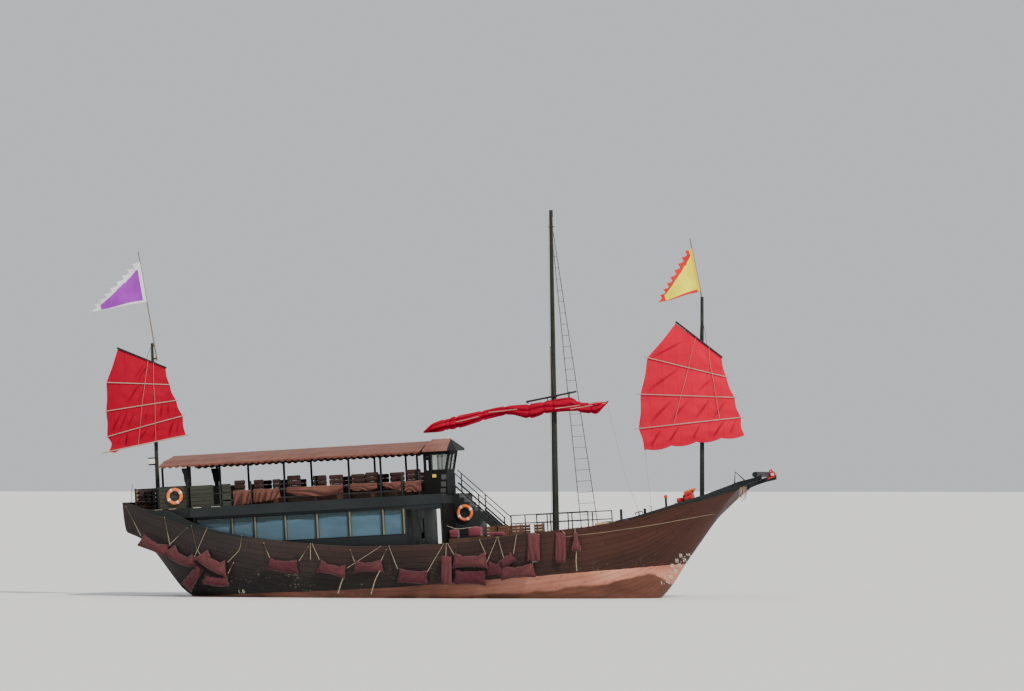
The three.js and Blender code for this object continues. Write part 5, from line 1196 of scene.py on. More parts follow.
# Masts and flagpoles
# Round tapered pine spars, stepped through the decks and painted black-green; the two flagpoles are thin
# bare poles scarfed to the heads of the fore and mizzen masts.
MASTS = {
    "main": ((4.82, 0, 1.55), (5.4, 0, 16.21), 0.150, 0.080),
    "fore": ((11.168, 0, 2.45), (11.71, 0, 12.11), 0.105, 0.070),
    "mizzen": ((-12.571, 0, 4.35), (-12.48, 0, 11.62), 0.100, 0.060),
}
POLES = {"fore": ((11.74, 0, 11.8), (11.33, 0, 14.62)), "mizzen": ((-12.29, 0, 10.85), (-12.88, 0, 15.6))}
SCARFS = (((-12.29, 0, 10.95), (-12.5, 0, 10.95)), ((-12.4, 0, 11.5), (-12.5, 0, 11.5)))
mast_paint = painted_wood("mast_paint", (0.0085, 0.0115, 0.0100), (0.035, 0.042, 0.036), 0.6)
pole_wood = painted_wood("pole_wood", (0.16, 0.105, 0.065), (0.30, 0.22, 0.15), 0.65)


def spar(foot, head, thick_end, thin_end, rings=40, sides=24):
    """A round spar whose radius falls evenly from its foot to its head."""
    t = np.linspace(0, 1, rings)
    path = np.asarray(foot) + (np.asarray(head) - np.asarray(foot)) * t[:, None]
    return tube(path, thick_end + (thin_end - thick_end) * t, sides)


for name, (foot, head, r0, r1) in MASTS.items():
    shapes = [spar(foot, head, r0, r1)]
    if name == "mizzen":
        shapes += [tube(np.linspace(a, b, 2), 0.036) for a, b in SCARFS]
    make(f"{name}_mast_spar", together(shapes), mast_paint, "darkGreen", replaces=(f"{name}_mast",))
    if name in POLES:
        make(f"{name}_flagpole", spar(*POLES[name], 0.032, 0.022, 20, 12), pole_wood, "darkGreen")

# Sails
# Crimson cotton sewn of narrow cloths, lashed to a yard and to bamboo battens; thin lines tie the battens
# together. Each is set on the starboard side of its mast and is held to it by a rope loop at the yard. Rows
# of a sail from the yard down. Columns: aft x, aft z, fore x, fore z
FORE_ROWS = np.array([
    (10.610, 11.090, 12.450, 9.520), (9.276, 9.675, 12.604, 8.662), (8.892, 8.145, 12.910, 7.773),
    (8.737, 6.694, 13.131, 6.914), (8.930, 5.691, 13.251, 6.088),
])
MIZZEN_ROWS = np.array([
    (-13.925, 11.474, -11.857, 10.524), (-14.524, 10.034, -11.715, 9.772), (-14.600, 8.792, -11.458, 9.071),
    (-14.616, 7.685, -11.196, 8.391), (-14.579, 7.042, -11.094, 7.548),
])


def sail_point(rows, u, v, proud=0.0):
    """A point of a sail: u from its aft edge to its fore edge and v down from the yard, counted in rows.
    Between the rows the edges run straight, and the belly stands out to starboard as sin(pi u) sin(0.9 pi
    depth)."""
    u, v = np.broadcast_arrays(np.asarray(u, float), np.asarray(v, float))
    i = np.clip(np.floor(v).astype(int), 0, len(rows) - 2)
    t = (v - i)[..., None]
    row = rows[i] * (1 - t) + rows[i + 1] * t
    out = 0.16 * np.sin(np.pi * u) * np.sin(0.9 * np.pi * v / (len(rows) - 1))
    return np.stack(
        [
            row[..., 0] + (row[..., 2] - row[..., 0]) * u, -0.3 - out - proud,
            row[..., 1] + (row[..., 3] - row[..., 1]) * u
        ],
        -1
    )


def sail_finish(name, light=1.0):
    """Crimson sailcloth: seams of the narrow cloths, soft stains, painted shade in the creases after the
    piece's own crease attribute, weave. Every colour is scaled by light, so that a light below 1 paints the
    whole sail in shade."""
    m = Paint(name, (0.6 * light, 0.006, 0.036), 0.85, Specular_IOR_Level=0.08)
    strip = m.axes(m.at("UV"))[0] * (1 / 0.62)
    each = m.node("TexWhiteNoise", [("W", strip.math("FLOOR"))], noise_dimensions="1D")
    seam = strip.to_edge().ranged(0.0, 0.03, 1.0, 0.0)
    stain = m.worn(2.6, 0.0, 1.0, detail=7)
    faded = tuple(light * c for c in (0.66, 0.006, 0.040)), tuple(light * c for c in (0.46, 0.004, 0.026))
    m.feed("Base Color", m.mix(m.worn(0.9, 0.0, 1.0, detail=5) * 0.5 + each * 0.15, *faded))
    for share, colour in (
        (stain * 0.22, (0.74, 0.018, 0.055)), (seam * 0.35, (0.34, 0.004, 0.018)),
        (m.attribute("crease") * 0.8, (0.14, 0.003, 0.012)),
    ):
        m.recolour(share, tuple(light * c for c in colour))
    m.bump(m.noise(m.at(), 60.0, 3) * 0.4 + stain * 1.6 + seam, 0.5, 0.006)
    return m


sail_cloth = sail_finish("sail_cloth")
# the same cloth scaled to 0.58: painted shade for the mizzen sail and the furled main sail
shaded_cloth = sail_finish("shaded_sail_cloth", 0.58)
batten_wood = painted_wood("batten_wood", (0.42, 0.29, 0.22), (0.58, 0.46, 0.37), 0.6)
tie_line = painted_wood("tie_line", (0.46, 0.17, 0.15), (0.58, 0.30, 0.26), 0.85)
spar_black = painted_wood("spar_black", (0.012, 0.010, 0.009), (0.05, 0.045, 0.04), 0.6)


# Creases of each sail, in its own u and v. Columns: u and v of one end, u and v of the other, depth
FORE_CREASES = np.array(
    [
        (0.03, 1.02, 0.30, 0.25, 0.8), (0.06, 1.95, 0.42, 1.08, 0.7), (0.10, 2.9, 0.36, 2.1, 0.8),
        (0.30, 2.95, 0.52, 2.15, 0.6), (0.55, 2.92, 0.74, 2.12, 0.8), (0.72, 2.95, 0.90, 2.2, 0.6),
        (0.05, 3.9, 0.22, 3.1, 0.8), (0.24, 3.85, 0.40, 3.08, 0.9), (0.48, 3.9, 0.60, 3.1, 0.7),
        (0.68, 3.9, 0.84, 3.05, 0.9), (0.86, 3.8, 0.95, 3.1, 0.6), (0.60, 1.9, 0.85, 1.1, 0.5)
    ]
)
MIZZEN_CREASES = np.array(
    [
        (0.66, 0.1, 0.48, 0.95, 0.7), (0.58, 0.2, 0.40, 0.95, 0.5), (0.52, 1.05, 0.30, 1.9, 0.8),
        (0.62, 1.1, 0.46, 1.9, 0.4), (0.05, 2.9, 0.22, 2.15, 0.9), (0.16, 2.95, 0.32, 2.12, 0.8),
        (0.28, 2.95, 0.42, 2.1, 0.6), (0.50, 2.9, 0.60, 2.2, 0.5), (0.72, 2.85, 0.80, 2.05, 0.8),
        (0.82, 2.8, 0.88, 2.1, 0.6), (0.22, 3.95, 0.27, 3.08, 1.0), (0.10, 3.7, 0.20, 3.1, 0.5),
        (0.38, 3.9, 0.55, 3.1, 0.7), (0.55, 3.9, 0.70, 3.1, 0.6), (0.78, 3.9, 0.88, 3.05, 0.9),
        (0.88, 3.85, 0.95, 3.1, 0.6)
    ]
)


def creased(u, v, creases):
    """How deep a point lies in the creases, 0 to 1: each is a furrow along a straight line in u and v, with a
    width of 0.012 that opens towards the foot, and fades out at its two ends."""
    deep = np.zeros(u.shape)
    for u0, v0, u1, v1, depth in creases:
        du, dv = (u1 - u0), (v1 - v0) / 4
        long = du * du + dv * dv
        t = ((u - u0) * du + (v - v0) / 4 * dv) / long
        off = ((u - u0) * dv - (v - v0) / 4 * du) / math.sqrt(long)
        ends = np.clip(1 - (2 * t - 1) ** 2, 0, 1)
        deep = np.maximum(deep, depth * ends * np.exp(-((off / (0.006 + 0.007 * (1 - t))) ** 2)))
    return deep


def sail(name, rows, lines, ends, boom, seed, creases, finish):
    """Cloth, battens, yard and lines of one sail, on its own body."""
    last = len(rows) - 1
    u, v = np.meshgrid(np.linspace(0, 1, 130), np.linspace(0.03, last, 150), indexing="ij")
    between = np.sin(np.pi * (v % 1)) ** 2
    pull = 0.012 * between * (np.exp(-u / 0.05) - np.exp(-(1 - u) / 0.05))
    soft = np.sin(9 * u + 5.5 * v + seed) * np.sin(3.1 * v - 4 * u + seed)
    soft += 0.6 * np.sin(23 * u - 9 * v + 2 * seed) * np.sin(2.2 * v + 5 * u)
    cloth = sail_point(rows, np.clip(u + pull, 0, 1), v)
    deep = creased(u, v, creases)
    cloth[..., 1] -= (0.022 + 0.012 * soft) * between - 0.035 * deep
    if not boom:
        lift = np.abs(np.sin(np.pi * (u - 0.02) / 0.25)) ** 0.8
        cloth[..., 2] += 0.10 * (1 - lift) * np.clip((v - (last - 0.6)) / 0.6, 0, 1) ** 2
    else:
        foot = np.clip(v - (last - 1), 0, 1)
        cloth[..., 0] += 0.12 * np.sin(np.pi * foot) * np.exp(-u / 0.06)
        cloth[..., 2] -= 0.10 * np.exp(-(((u - 0.08) / 0.06) ** 2)) * foot ** 3
        cloth[..., 1] -= 0.05 * foot ** 3
    flat = (np.ptp(cloth[..., 0]) + 0.1, np.ptp(cloth[..., 2]) + 0.3)
    # the creases' depth also darkens the cloth as painted shade, through the crease attribute
    sheet(
        f"{name}_cloth", cloth, finish, "sailCloth", 0.004, flat, "stretched", [f"{name}_rods"],
        body=name, replaces=(name,), uv=cloth.reshape(-1, 3)[:, [0, 2]], crease=deep,
    )
    rods = [tube(sail_point(rows, np.linspace(*ends, 24), float(k), 0.030), 0.020, 8) for k in range(1, last)]
    if boom:
        rods.append(tube(sail_point(rows, np.linspace(-0.09, 1.03, 24), float(last), 0.034), 0.028, 10))
    make(f"{name}_rods", together(rods), batten_wood, "battenWood", body=name)
    ties = []
    for at in lines:
        v = np.linspace(0, last if boom else last - 1, 60)
        ties.append(tube(sail_point(rows, np.interp(v, np.arange(len(at)), at), v, 0.052), 0.010, 6))
    make(f"{name}_ties", together(ties), tie_line, "rope", body=name)
    yard = tube(sail_point(rows, np.linspace(-0.02, 1.02, 12), 0.0), np.linspace(0.045, 0.040, 12), 12)
    make(f"{name}_yard", yard, spar_black, "sparBlack", body=name, replaces=(name.replace("sail", "spars"),))


sail(
    "fore_sail", FORE_ROWS, ((0.44, 0.53, 0.44, 0.35, 0.24), (0.73, 0.83, 0.81, 0.80, 0.80)),
    (-0.045, 1.03), False, 0.4, FORE_CREASES, sail_cloth
)
sail(
    "mizzen_sail", MIZZEN_ROWS, ((0.64, 0.625, 0.53, 0.45, 0.39), (0.755, 0.76, 0.715, 0.65, 0.62)),
    (-0.02, 1.03), True, 2.1, MIZZEN_CREASES, shaded_cloth
)

# Furled main sail
# The main sail is gathered up in folds and lashed in a long bundle beside the mast, its black yard along
# the top.
# Columns: x, low edge, high edge
BUNDLE = np.array(
    [
        (-0.59, 7.04, 7.12), (-0.08, 7.03, 7.49), (0.96, 7.16, 7.71), (2.05, 7.40, 7.86),
        (3.20, 7.60, 8.01), (4.05, 7.39, 8.04), (4.90, 7.57, 8.13), (5.85, 7.59, 8.20), (6.40, 7.50, 7.95),
        (6.95, 7.42, 7.94), (7.33, 7.72, 7.94), (7.52, 7.90, 7.95)
    ]
)
GASKETS = np.array([0.40, 0.57, 0.91, 2.03, 3.05, 4.05, 4.70, 5.10, 6.15, 6.75])


def bundle_folds(x, a):
    """The bundle's five main folds, 0 in their furrows and 1 on their backs, which wander round along it."""
    return 0.5 + 0.5 * np.sin(5 * a + 1.7 * np.sin(0.9 * x) + 0.8 * np.sin(2.9 * x + 1))


def bundle_points(x, a):
    """The bundle's surface at x, round by a: an oval between its low and high edges, with lengthways folds
    that wander along it and the nips of its lashings."""
    low, high = np.moveaxis(fair(BUNDLE, x), -1, 0)
    half = (high - low) / 2
    wide = np.minimum(half, 0.21)
    fold = bundle_folds(x, a)
    fine = 0.5 + 0.5 * np.sin(11 * a - 2.3 * x + 1.3 * np.sin(3.7 * x))
    nip = np.exp(-(((x[..., None] - GASKETS) / 0.07) ** 2)).sum(-1)
    r = 1 - 0.20 * fold ** 2 - 0.07 * fine - 0.16 * nip
    return np.stack([x, -0.4 + wide * r * np.cos(a), low + half + half * r * np.sin(a)], -1)


x, a = np.meshgrid(
    np.linspace(-0.585, 7.515, 300), np.linspace(0, 2 * np.pi, 84, endpoint=False), indexing="ij"
)
bundle = bundle_points(x, a)
# the furrows of the folds are darkened as painted shade, on the shaded copy of the sail cloth
padded(
    "main_sail_bundle", ringed(bundle), shaded_cloth, "sailCloth", 0.4, body="main_sail",
    replaces=("main_sail",), uv=bundle.reshape(-1, 3)[:, [0, 2]], crease=bundle_folds(x, a) ** 6,
)
# its battens, bundled in, show their ends along the near side
rods = [
    tube(np.linspace(a, b, 2), 0.016, 8)
    for a, b in (
        ((2.357, -0.625, 7.75), (3.58, -0.625, 7.815)), ((5.24, -0.625, 7.744), (7.45, -0.46, 7.925)),
        ((5.9, -0.620, 7.69), (7.40, -0.47, 7.86)), ((0.9, -0.62, 7.42), (1.9, -0.62, 7.60))
    )
]
make("main_sail_battens", together(rods), batten_wood, "battenWood", body="main_sail")
finish_of(spar_black, "main_spars")


# Flags
# Two three-cornered flags of thin cloth with cut borders, flying aft from their poles.
def flag_finish(name, field, border, hoist, foot):
    """Flag cloth in its own two shares, along and up: a border on the upper edge, bands at hoist and foot."""
    m = Paint(name, field, 0.85, Specular_IOR_Level=0.08)
    fly, drop, _ = m.axes(m.at("UV"))
    m.feed("Base Color", m.mix(m.worn(2.0, 0.0, 0.5), field, tuple(0.6 * c for c in field)))
    m.recolour(drop < m.worn(5.0, -1.0, 1.0) * 0.03 + fly * 0.16 + 0.13, border)
    for share, colour in ((drop > 0.93, foot), (fly > 0.82, border), (fly < 0.06, hoist)):
        m.recolour(share, colour)
    m.bump(m.worn(30, 0, 1), 0.3, 0.003)
    return m


def flag(name, top, bottom, tip, waves, finish, slot):
    """Three-cornered cloth: each height of the hoist is drawn to the tip, with waves that grow along the fly.
    The upper edge is cut in nine flames that lean aft, 0.05 to 0.16 m high."""
    top, bottom, tip = (np.asarray(p, float) for p in (top, bottom, tip))
    u, v = np.meshgrid(
        np.linspace(0, 0.985, 145),
        np.concatenate([np.linspace(0, 0.16, 8)[:-1], np.linspace(0.16, 1, 26)]), indexing="ij"
    )
    hoist = top + (bottom - top) * v[..., None]
    cloth = hoist + (tip - hoist) * u[..., None]
    flame = ((u * 9.0) % 1) ** 1.6 * np.clip((u - 0.02) * 30, 0, 1) * np.clip((0.97 - u) * 12, 0, 1)
    near = np.clip(1 - v / 0.16, 0, 1)
    cloth[..., 2] += 0.15 * flame * near - 0.05 * near * (u < 0.97)
    cloth[..., 0] -= 0.11 * flame * near
    cloth[..., 1] += waves * np.sin(2 * np.pi * (1.3 * u + 0.15 * v)) * np.clip(u * 5, 0, 1)
    cloth[..., 2] -= 0.05 * np.sin(np.pi * u) * (1 - v) + 0.015 * np.sin(9 * u + 2)
    long = max(np.linalg.norm(tip - top), np.linalg.norm(tip - bottom))
    sheet(
        name, cloth, finish, slot, 0.003, (np.linalg.norm(top - bottom), long * 1.02), "hung",
        [name.split("_")[0] + "_flagpole"], replaces=(name[:-6],), uv=np.stack([u, v], -1).reshape(-1, 2),
    )


def on_pole(mast, z):
    (x0, _, z0), (x1, _, z1) = POLES[mast]
    t = (z - z0) / (z1 - z0)
    return (x0 + (x1 - x0) * t, -(0.032 - 0.010 * t + 0.004), z)


purple = flag_finish(
    "purple_flag", (0.34, 0.045, 0.48), (0.75, 0.72, 0.74), (0.78, 0.75, 0.78), (0.75, 0.72, 0.74)
)
yellow = flag_finish(
    "yellow_flag", (1.0, 0.93, 0.05), (0.66, 0.03, 0.03), (0.86, 0.58, 0.02), (0.66, 0.03, 0.03)
)
flag(
    "mizzen_flag_cloth", on_pole("mizzen", 15.25), on_pole("mizzen", 13.40), (-15.127, -0.04, 13.129), 0.06,
    purple, "purpleCloth"
)
flag(
    "fore_flag_cloth", on_pole("fore", 14.28), on_pole("fore", 12.35), (9.815, -0.04, 11.968), 0.05, yellow,
    "yellowCloth"
)

make(
    "mizzen_flag_tail",
    tube(
        [(-15.10, -0.04, 13.13), (-15.28, -0.05, 13.10), (-15.46, -0.03, 13.03)],
        np.array([0.022, 0.016, 0.005]), 6
    ),
    pale_paint, "battenWood"
)

# Shroud ladder and rigging
# Tarred rope shrouds from the masthead to the port rail, with rope rungs seized across them.
tarred_rope = painted_wood("tarred_rope", (0.045, 0.038, 0.030), (0.12, 0.10, 0.075), 0.85)
finish_of(tarred_rope, "shroud_port")


def rigged(name, points):
    """A line from a point on the boat to a sail, drawn from the boat's end as a rod that bends through its
    points, on no body."""
    line = make(name, bent(points, 40, 0.010, 6), rope_pale, "rope", body=None, smooth=180)
    start, end = level_to_row([points[0], points[-1]])
    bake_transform(line)


def riding(name, lines, body):
    make(name, together([bent(line, 24, 0.010, 6) for line in lines]), tarred_rope, "rope", body=body)


riding(
    "mizzen_halyards",
    [
        [(-12.50, -0.07, 11.50), (-12.45, -0.2, 11.2), (-12.26, -0.31, 10.745)],
        [(-12.50, -0.07, 11.50), (-12.58, -0.2, 11.25), (-12.695, -0.31, 10.93)]
    ],
    "mizzen_sail"
)
riding(
    "fore_halyards",
    [
        [(11.66, -0.09, 11.4), (11.62, -0.2, 11.0), (11.58, -0.31, 10.35)],
        [(11.66, -0.09, 11.4), (11.75, -0.2, 10.9), (11.86, -0.31, 10.10)]
    ],
    "fore_sail"
)
riding(
    "main_halyards",
    [
        [(5.08, -0.17, 10.4), (5.07, -0.3, 9.3), (5.05, -0.41, 8.25)],
        [(5.10, -0.17, 10.4), (5.14, -0.3, 9.3), (5.20, -0.41, 8.28)]
    ],
    "main_sail"
)
ropes = [
    tube([(4.66, -0.06, 1.75), (5.27, -0.04, 15.9)], 0.012, 6),
    tube([(4.99, -0.10, 1.75), (5.47, -0.06, 15.9)], 0.008, 6),
    tube([(-12.46, -0.06, 4.4), (-12.41, -0.04, 11.3)], 0.010, 6)
]
make("mast_falls", together(ropes), rope_pale, "rope")
rigged("main_bundle_line", [(8.97, -2.58, 3.17), (8.29, -1.4, 4.63), (7.45, -0.42, 7.92)])
rigged("fore_clew_line", [(9.47, -2.38, 3.48), (9.22, -1.4, 4.55), (8.95, -0.33, 5.69)])

# Fenders
# Bags of faded maroon cloth stuffed with old rope and rags, hung over both sides on lines tied to a rope
# along the rail.
# Columns: aft x, z, middle x, z, fore x, z of a bag's axis, its height across the axis, thickness, how far
# it lies off the bags behind it, and the x on the rail where its aft and fore lines are tied
FENDERS = np.array([
    (-12.791, 3.149, -12.174, 2.820, -11.557, 2.613, 0.470, 0.230, 0, -13.344, -11.598),
    (-11.460, 2.674, -10.912, 2.190, -10.325, 2.166, 0.470, 0.240, 0, -11.560, -10.500),
    (-10.048, 1.897, -10.470, 1.440, -10.891, 1.004, 0.470, 0.220, 0, -9.673, -10.386),
    (-9.977, 2.384, -9.510, 1.912, -8.942, 1.733, 0.556, 0.240, 0.060, -10.350, -8.134),
    (-9.982, 1.384, -9.415, 1.200, -8.848, 1.198, 0.427, 0.240, 0.060, -9.710, -8.170),
    (-7.012, 1.849, -6.400, 1.690, -5.710, 1.653, 0.513, 0.250, 0, -7.152, -5.100),
    (-4.757, 1.627, -4.200, 1.440, -3.641, 1.315, 0.470, 0.240, 0, -5.009, -2.040),
    (-3.204, 1.525, -2.650, 1.475, -2.011, 1.483, 0.449, 0.240, 0, -3.360, -1.750),
    (-1.329, 1.056, -0.700, 0.950, -0.082, 0.898, 0.556, 0.250, 0, -1.669, 0.709),
    (0.825, 1.702, 0.780, 1.140, 0.740, 0.570, 0.427, 0.210, 0, 0.817, 0.817),
    (1.132, 1.551, 1.800, 1.480, 2.507, 1.479, 0.534, 0.250, 0.060, 0.884, 2.253),
    (1.094, 0.867, 1.760, 0.800, 2.424, 0.768, 0.598, 0.260, 0, 0.930, 2.300),
    (2.531, 1.141, 2.850, 1.100, 3.174, 1.086, 0.534, 0.220, 0, 2.990, 2.990),
    (3.138, 1.214, 3.400, 1.420, 3.675, 1.606, 0.427, 0.230, 0, 3.030, 3.843),
    (3.121, 0.921, 3.800, 0.930, 4.499, 0.975, 0.513, 0.240, 0.060, 3.070, 4.550),
    (4.577, 2.465, 4.550, 1.950, 4.513, 1.414, 0.513, 0.110, 0, 4.590, 4.590),
    (5.720, 2.440, 5.680, 1.900, 5.634, 1.333, 0.427, 0.110, 0, 5.745, 5.745),
    (6.348, 2.414, 6.340, 2.000, 6.327, 1.652, 0.385, 0.200, 0, 6.300, 6.300),
])
fender_cloth = woven(
    "fender_cloth", (0.064, 0.0125, 0.020), (0.125, 0.031, 0.042), thread=0.006, sheen=0.1, creases=1.0
)
# Paler where sun-faded and, as a painted highlight, along lying bags' upper edges; painted shade in wrinkles
fender_cloth.recolour(fender_cloth.attribute("weathered") * 0.75, (0.175, 0.068, 0.062))
fender_cloth.recolour(fender_cloth.attribute("crease") * 0.75, (0.030, 0.006, 0.009))
rope_fibre = painted_wood("rope_fibre", (0.26, 0.22, 0.15), (0.42, 0.37, 0.27), 0.9)
rope_fibre.recolour(1 - rope_fibre.attribute("pale"), (0.060, 0.050, 0.036))
# The bags' lines: points x, z from one end to the other, the lowest of them at a bag's corner
ROPES = (
    ((-13.344, 4.612), (-12.769, 3.339)), ((-11.598, 4.055), (-11.408, 2.84)),
    ((-10.586, 3.544), (-11.39, 2.913)), ((-10.386, 3.636), (-10.236, 2.672), (-10.007, 2.32)),
    ((-9.673, 3.424), (-10.322, 2.295)), ((-8.134, 2.994), (-8.24, 2.57), (-8.804, 2.0)),
    ((-8.608, 1.952), (-8.848, 1.509)), ((-7.152, 2.726), (-6.911, 2.094)),
    ((-5.19, 2.462), (-5.614, 1.891)), ((-5.009, 2.508), (-4.711, 1.899)),
    ((-5.092, 2.512), (-5.102, 1.92)), ((-2.04, 2.27), (-3.523, 1.477)), ((-3.36, 2.235), (-3.175, 1.735)),
    ((-1.791, 2.16), (-2.02, 1.712)), ((-1.669, 2.25), (-1.326, 1.325)), ((0.709, 2.23), (-0.07, 1.121)),
    ((0.817, 2.224), (0.788, 1.703)), ((0.884, 2.2), (1.151, 1.789)), ((2.253, 2.286), (2.507, 1.751)),
    ((3.005, 2.351), (2.526, 1.401)), ((3.042, 2.387), (3.25, 1.573)), ((3.843, 2.45), (3.682, 1.689)),
    ((4.521, 1.95), (4.479, 1.265)), ((4.597, 2.52), (4.80, 2.44)), ((5.752, 2.60), (5.90, 2.42)),
    ((6.306, 2.64), (6.34, 2.43))
)

# Ropes that hang loose from a bag's lower corner. Columns: x, z of three points, from the bag down
LOOSE_ENDS = (
    ((-3.70, 1.12), (-3.83, 0.85), (-3.99, 0.42)), ((-2.08, 1.33), (-2.33, 0.90), (-2.54, 0.32)),
    ((6.33, 1.68), (6.29, 1.2), (6.30, 0.84))
)
# How the cloth of each sort of bag lies: wider than its case by this share, air pressure, weight
CLOTHS = ((0.06, 4, 0.0), (0.08, 4, 0.4), (0.12, 8, 0.4))
CASE_LONG, CASE_TALL, CASE_COLS, CASE_ROWS = 1.35, 0.52, 57, 23
# Each bag: its sort, 1 if turned end for end, how much taller its fore end is, how faded it is
SORTS = (
    (1, 0, 0, 0.45), (2, 1, 0, 0.35), (0, 0, 0.4, 0.15), (2, 0, 0, 0.65), (0, 1, 0, 0.15),
    (0, 0, 0.15, 0.15), (2, 0, 0, 0.35), (1, 1, 0, 0.35), (0, 1, 0, 0.2), (0, 0, 0, 0.3), (2, 0, 0, 0.5),
    (0, 0, 0, 0.05), (1, 0, 0, 0.05), (0, 1, 0, 0.3), (1, 1, 0, 0.45), (0, 0, 0, 0.35), (0, 0, 0, 0.4),
    (0, 0, 0, 0.45)
)


def hung_case(wider, pressure, weight):
    """A pillowcase of two sheets sewn round their edge, filled and hung by its two upper corners. Returns how
    far each point lies along it (0 to 1), above its middle line (over its mean height) and out from its flat
    side (0 to 1), how deep it lies in a wrinkle (neighbours' mean less the point, along the normal, over 2.5
    mm), its faces."""
    u, v = np.meshgrid(np.linspace(0, 1, CASE_COLS), np.linspace(0, 1, CASE_ROWS), indexing="ij")
    bulge = 0.02 * np.sin(np.pi * u) ** 0.5 * np.sin(np.pi * v) ** 0.5
    front = np.stack([CASE_LONG * u, -bulge, CASE_TALL * (v - 0.5)], -1).reshape(-1, 3)
    inside = ((u > 0) & (u < 1) & (v > 0) & (v < 1)).ravel()
    number = np.arange(len(front))
    number[inside] = len(front) + np.arange(inside.sum())
    near = np.array(grid_faces(CASE_COLS, CASE_ROWS))
    faces = np.concatenate([near, number[near][:, ::-1]])
    points = np.concatenate([front, front[inside] * (1, -1, 1)])
    points = points + 0.002 * np.sin(np.arange(len(points))[:, None] * np.array([1.7, 2.3, 3.1]))
    pins = [CASE_ROWS - 1, CASE_ROWS - 2, len(front) - 1, len(front) - 2] if weight else []
    points = filled(points, faces.tolist(), pins, wider, pressure, weight)
    out_of_face = np.cross(
        points[faces[:, 3]] - points[faces[:, 1]], points[faces[:, 2]] - points[faces[:, 0]]
    )
    normal, around, count = np.zeros_like(points), np.zeros_like(points), np.zeros(len(points))
    for a, b in ((0, 1), (1, 2), (2, 3), (3, 0)):
        np.add.at(normal, faces[:, a], out_of_face)
        for one, other in ((a, b), (b, a)):
            np.add.at(around, faces[:, one], points[faces[:, other]])
            np.add.at(count, faces[:, one], 1)
    normal /= np.linalg.norm(normal, axis=1, keepdims=True) + 1e-12
    deep = np.clip(((around / count[:, None] - points) * normal).sum(1) / 0.0025, 0, 1)
    along = points[:, 0] / CASE_LONG
    sheet = points[: len(front)].reshape(CASE_COLS, CASE_ROWS, 3)
    middle = np.polyfit(sheet[..., 0].mean(1) / CASE_LONG, sheet[..., 2].mean(1), 2)
    up = (points[:, 2] - np.polyval(middle, along)) / np.ptp(sheet[..., 2], axis=1).mean()
    out = points[:, 1] / points[:, 1].min()
    return along, up, (np.where(out > 0, out, 0.15 * out) + 0.15) / 1.15, deep, faces.tolist()


CASES = [hung_case(*cloth) for cloth in CLOTHS]


def axis_of(f, u):
    """A bag's axis at u: the parabola through its three points, and the direction across it, upwards."""
    first, middle, last = (1 - u) * (1 - 2 * u), 4 * u * (1 - u), u * (2 * u - 1)
    x, z = (a * first + b * middle + c * last for a, b, c in (f[0:6:2], f[1:6:2]))
    tx, tz = (a * (4 * u - 3) + b * (4 - 8 * u) + c * (4 * u - 1) for a, b, c in (f[0:6:2], f[1:6:2]))
    long = np.hypot(tx, tz)
    return x, z, -tz / long, tx / long


def bag_inner(x, z, height):
    """How far out a bag's inner face lies: between the hull beside it and the plumb line from the rail."""
    beside = np.max([breadth_at(x, z + k * height) for k in (-0.5, 0.0, 0.5)], axis=0)
    return (beside + np.maximum(beside, fair(STATIONS, x)[..., 3])) / 2 + 0.016


def lying_bag(f, kind, sign):
    """A bag hung by its two upper corners: a filled case bent along the bag's axis, its flat side to the
    hull. Returns the shape, how deep each point lies in a wrinkle, for painted shade, and how faded it is,
    with a painted highlight added along its upper edge."""
    along, up, out, deep, faces = CASES[kind[0]]
    along = 1 - along if kind[1] else along
    x, z, sx, sz = axis_of(f, along)
    up = up * np.sign(sz[0]) * f[6] * (1 + kind[2] * (along - 0.5))
    y = sign * (bag_inner(x, z, f[6]) + f[8] + f[7] * np.clip(out, 0.02, 1.04))
    # paler along the upper edge: a painted highlight over the bag's own fading
    faded = kind[3] + 0.5 * np.clip((up / f[6] - 0.36) / 0.12, 0, 1)
    return (np.stack([x + sx * up, y, z + sz * up], -1), faces), deep, faded


def upright_bag(f, kind, sign, seed):
    """A bag hung by its end: rings across its axis, flat against the hull and swollen outside, folded
    lengthways more and more towards its foot, which the thin ones end in ragged points."""
    u, a = np.meshgrid(np.linspace(0, 1, 61), np.linspace(0, 2 * np.pi, 36, endpoint=False), indexing="ij")
    x, z, sx, sz = axis_of(f, u)
    height, thick, off = f[6:9]
    w = 0.5 * power(np.sin(a), 0.55)
    w = w if sz[0, 0] >= 0 else -w
    body = 0.16 + 0.84 * np.clip(1 - (2 * u - 1) ** 6, 0, 1) ** 0.5
    out = 0.5 + 0.5 * power(np.cos(a), 0.75) * body
    along = -0.06 * (2 * np.abs(w)) ** 3 * np.exp(-u / 0.05)
    turns = 2.1
    if thick < 0.15:
        teeth = np.abs((3.5 * (w + 0.5) + 0.2 * seed) % 1 * 2 - 1)
        along = along + 0.13 * teeth * np.clip((u - 0.80) / 0.20, 0, 1) ** 1.5
    if height < 0.40:
        height, turns = height * (0.42 + 0.58 * np.clip((u - 0.25) / 0.45, 0, 1) ** 1.2), 3.2
    folds = 0.5 + 0.5 * np.sin(2 * np.pi * (turns * w + 0.25 * np.sin(4 * u + seed)))
    creases = folds ** 3 * (0.2 + 0.8 * u)
    out = out - 0.22 * creases * (out > 0.5) + 0.05 * np.sin(3 * u + 5 * w + seed) * (out > 0.5)
    y = sign * (bag_inner(x, z, f[6]) + off + thick * np.clip(out, 0.02, 1.04))
    up = w * height
    return ringed(
        np.stack([x + sx * up + sz * along, y, z + sz * up - sx * along], -1)
    ), creases, np.full(creases.shape, kind[3])


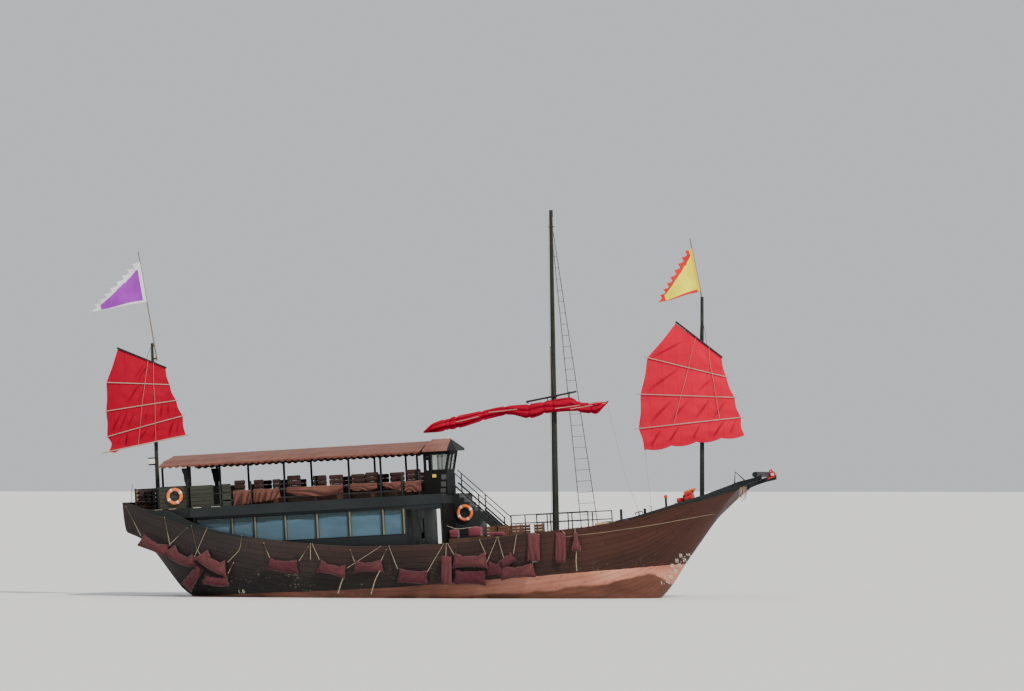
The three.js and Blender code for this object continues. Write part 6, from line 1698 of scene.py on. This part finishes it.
rail_x = np.linspace(-13.34, 6.5, 120)
for side, name in SIDES:
    for k, (f, kind) in enumerate(zip(FENDERS, SORTS)):
        upright = abs(f[5] - f[1]) > 1.5 * abs(f[4] - f[0])
        shape, creases, faded = upright_bag(f, kind, side, k * 1.7) if upright else lying_bag(f, kind, side)
        piece = f"fender_bag_{name}_{k + 1:02d}"
        padded(piece, shape, fender_cloth, "fenderCloth", 0.8, crease=creases, weathered=faded)
    steep = np.abs(np.gradient(sheer_at(rail_x), rail_x))
    line = np.stack(
        [
            rail_x, side * (fair(STATIONS, rail_x)[:, 3] - 0.010),
            sheer_at(rail_x) + 0.0115 * np.hypot(1, steep)
        ],
        1
    )
    make(f"rail_rope_{name}", tube(line, 0.009, 6), tarred_rope, "rope")
    ropes, pale = [], []
    for places in ROPES:
        x, z = np.array(places, float).T
        low = z.argmin()
        y = np.maximum(breadth_at(x, np.minimum(z, sheer_at(x))), 0) + 0.022
        y[low] = max(bag_inner(x[low], z[low], 0.1) + 0.10, y[low])
        points = np.stack([x, side * y, z], 1)
        if z[0] > sheer_at(x[0]) - 0.12:
            out, top = fair(STATIONS, x[0])[3], sheer_at(x[0])
            over_rail = [(x[0], side * (out - 0.012), top + 0.012), (x[0], side * (out + 0.014), top + 0.002)]
            points = np.concatenate([over_rail, points[1:]])
        ropes += [bent(points, 12, np.linspace(0.009, 0.014, 12), 6), ball(points[0], 0.024, 5, 8)]
        pale += [np.repeat(np.clip((np.linspace(0, 1, 12) - 0.45) / 0.2, 0.15, 1), 6), np.full(40, 0.8)]
    for places in LOOSE_ENDS:
        x, z = np.array(places).T
        points = np.stack([x, np.full(3, side * (bag_inner(x[0], z[0], 0.1) + 0.09)), z], 1)
        ropes.append(bent(points, 14, 0.021 + 0.004 * np.sin(np.arange(14) * 2.2)))
        pale.append(np.full(14 * 8, 1.0))
    make(
        f"fender_ropes_{name}", together(ropes), rope_fibre, "rope", replaces=(f"fenders_{name}",),
        pale=np.concatenate(pale)
    )
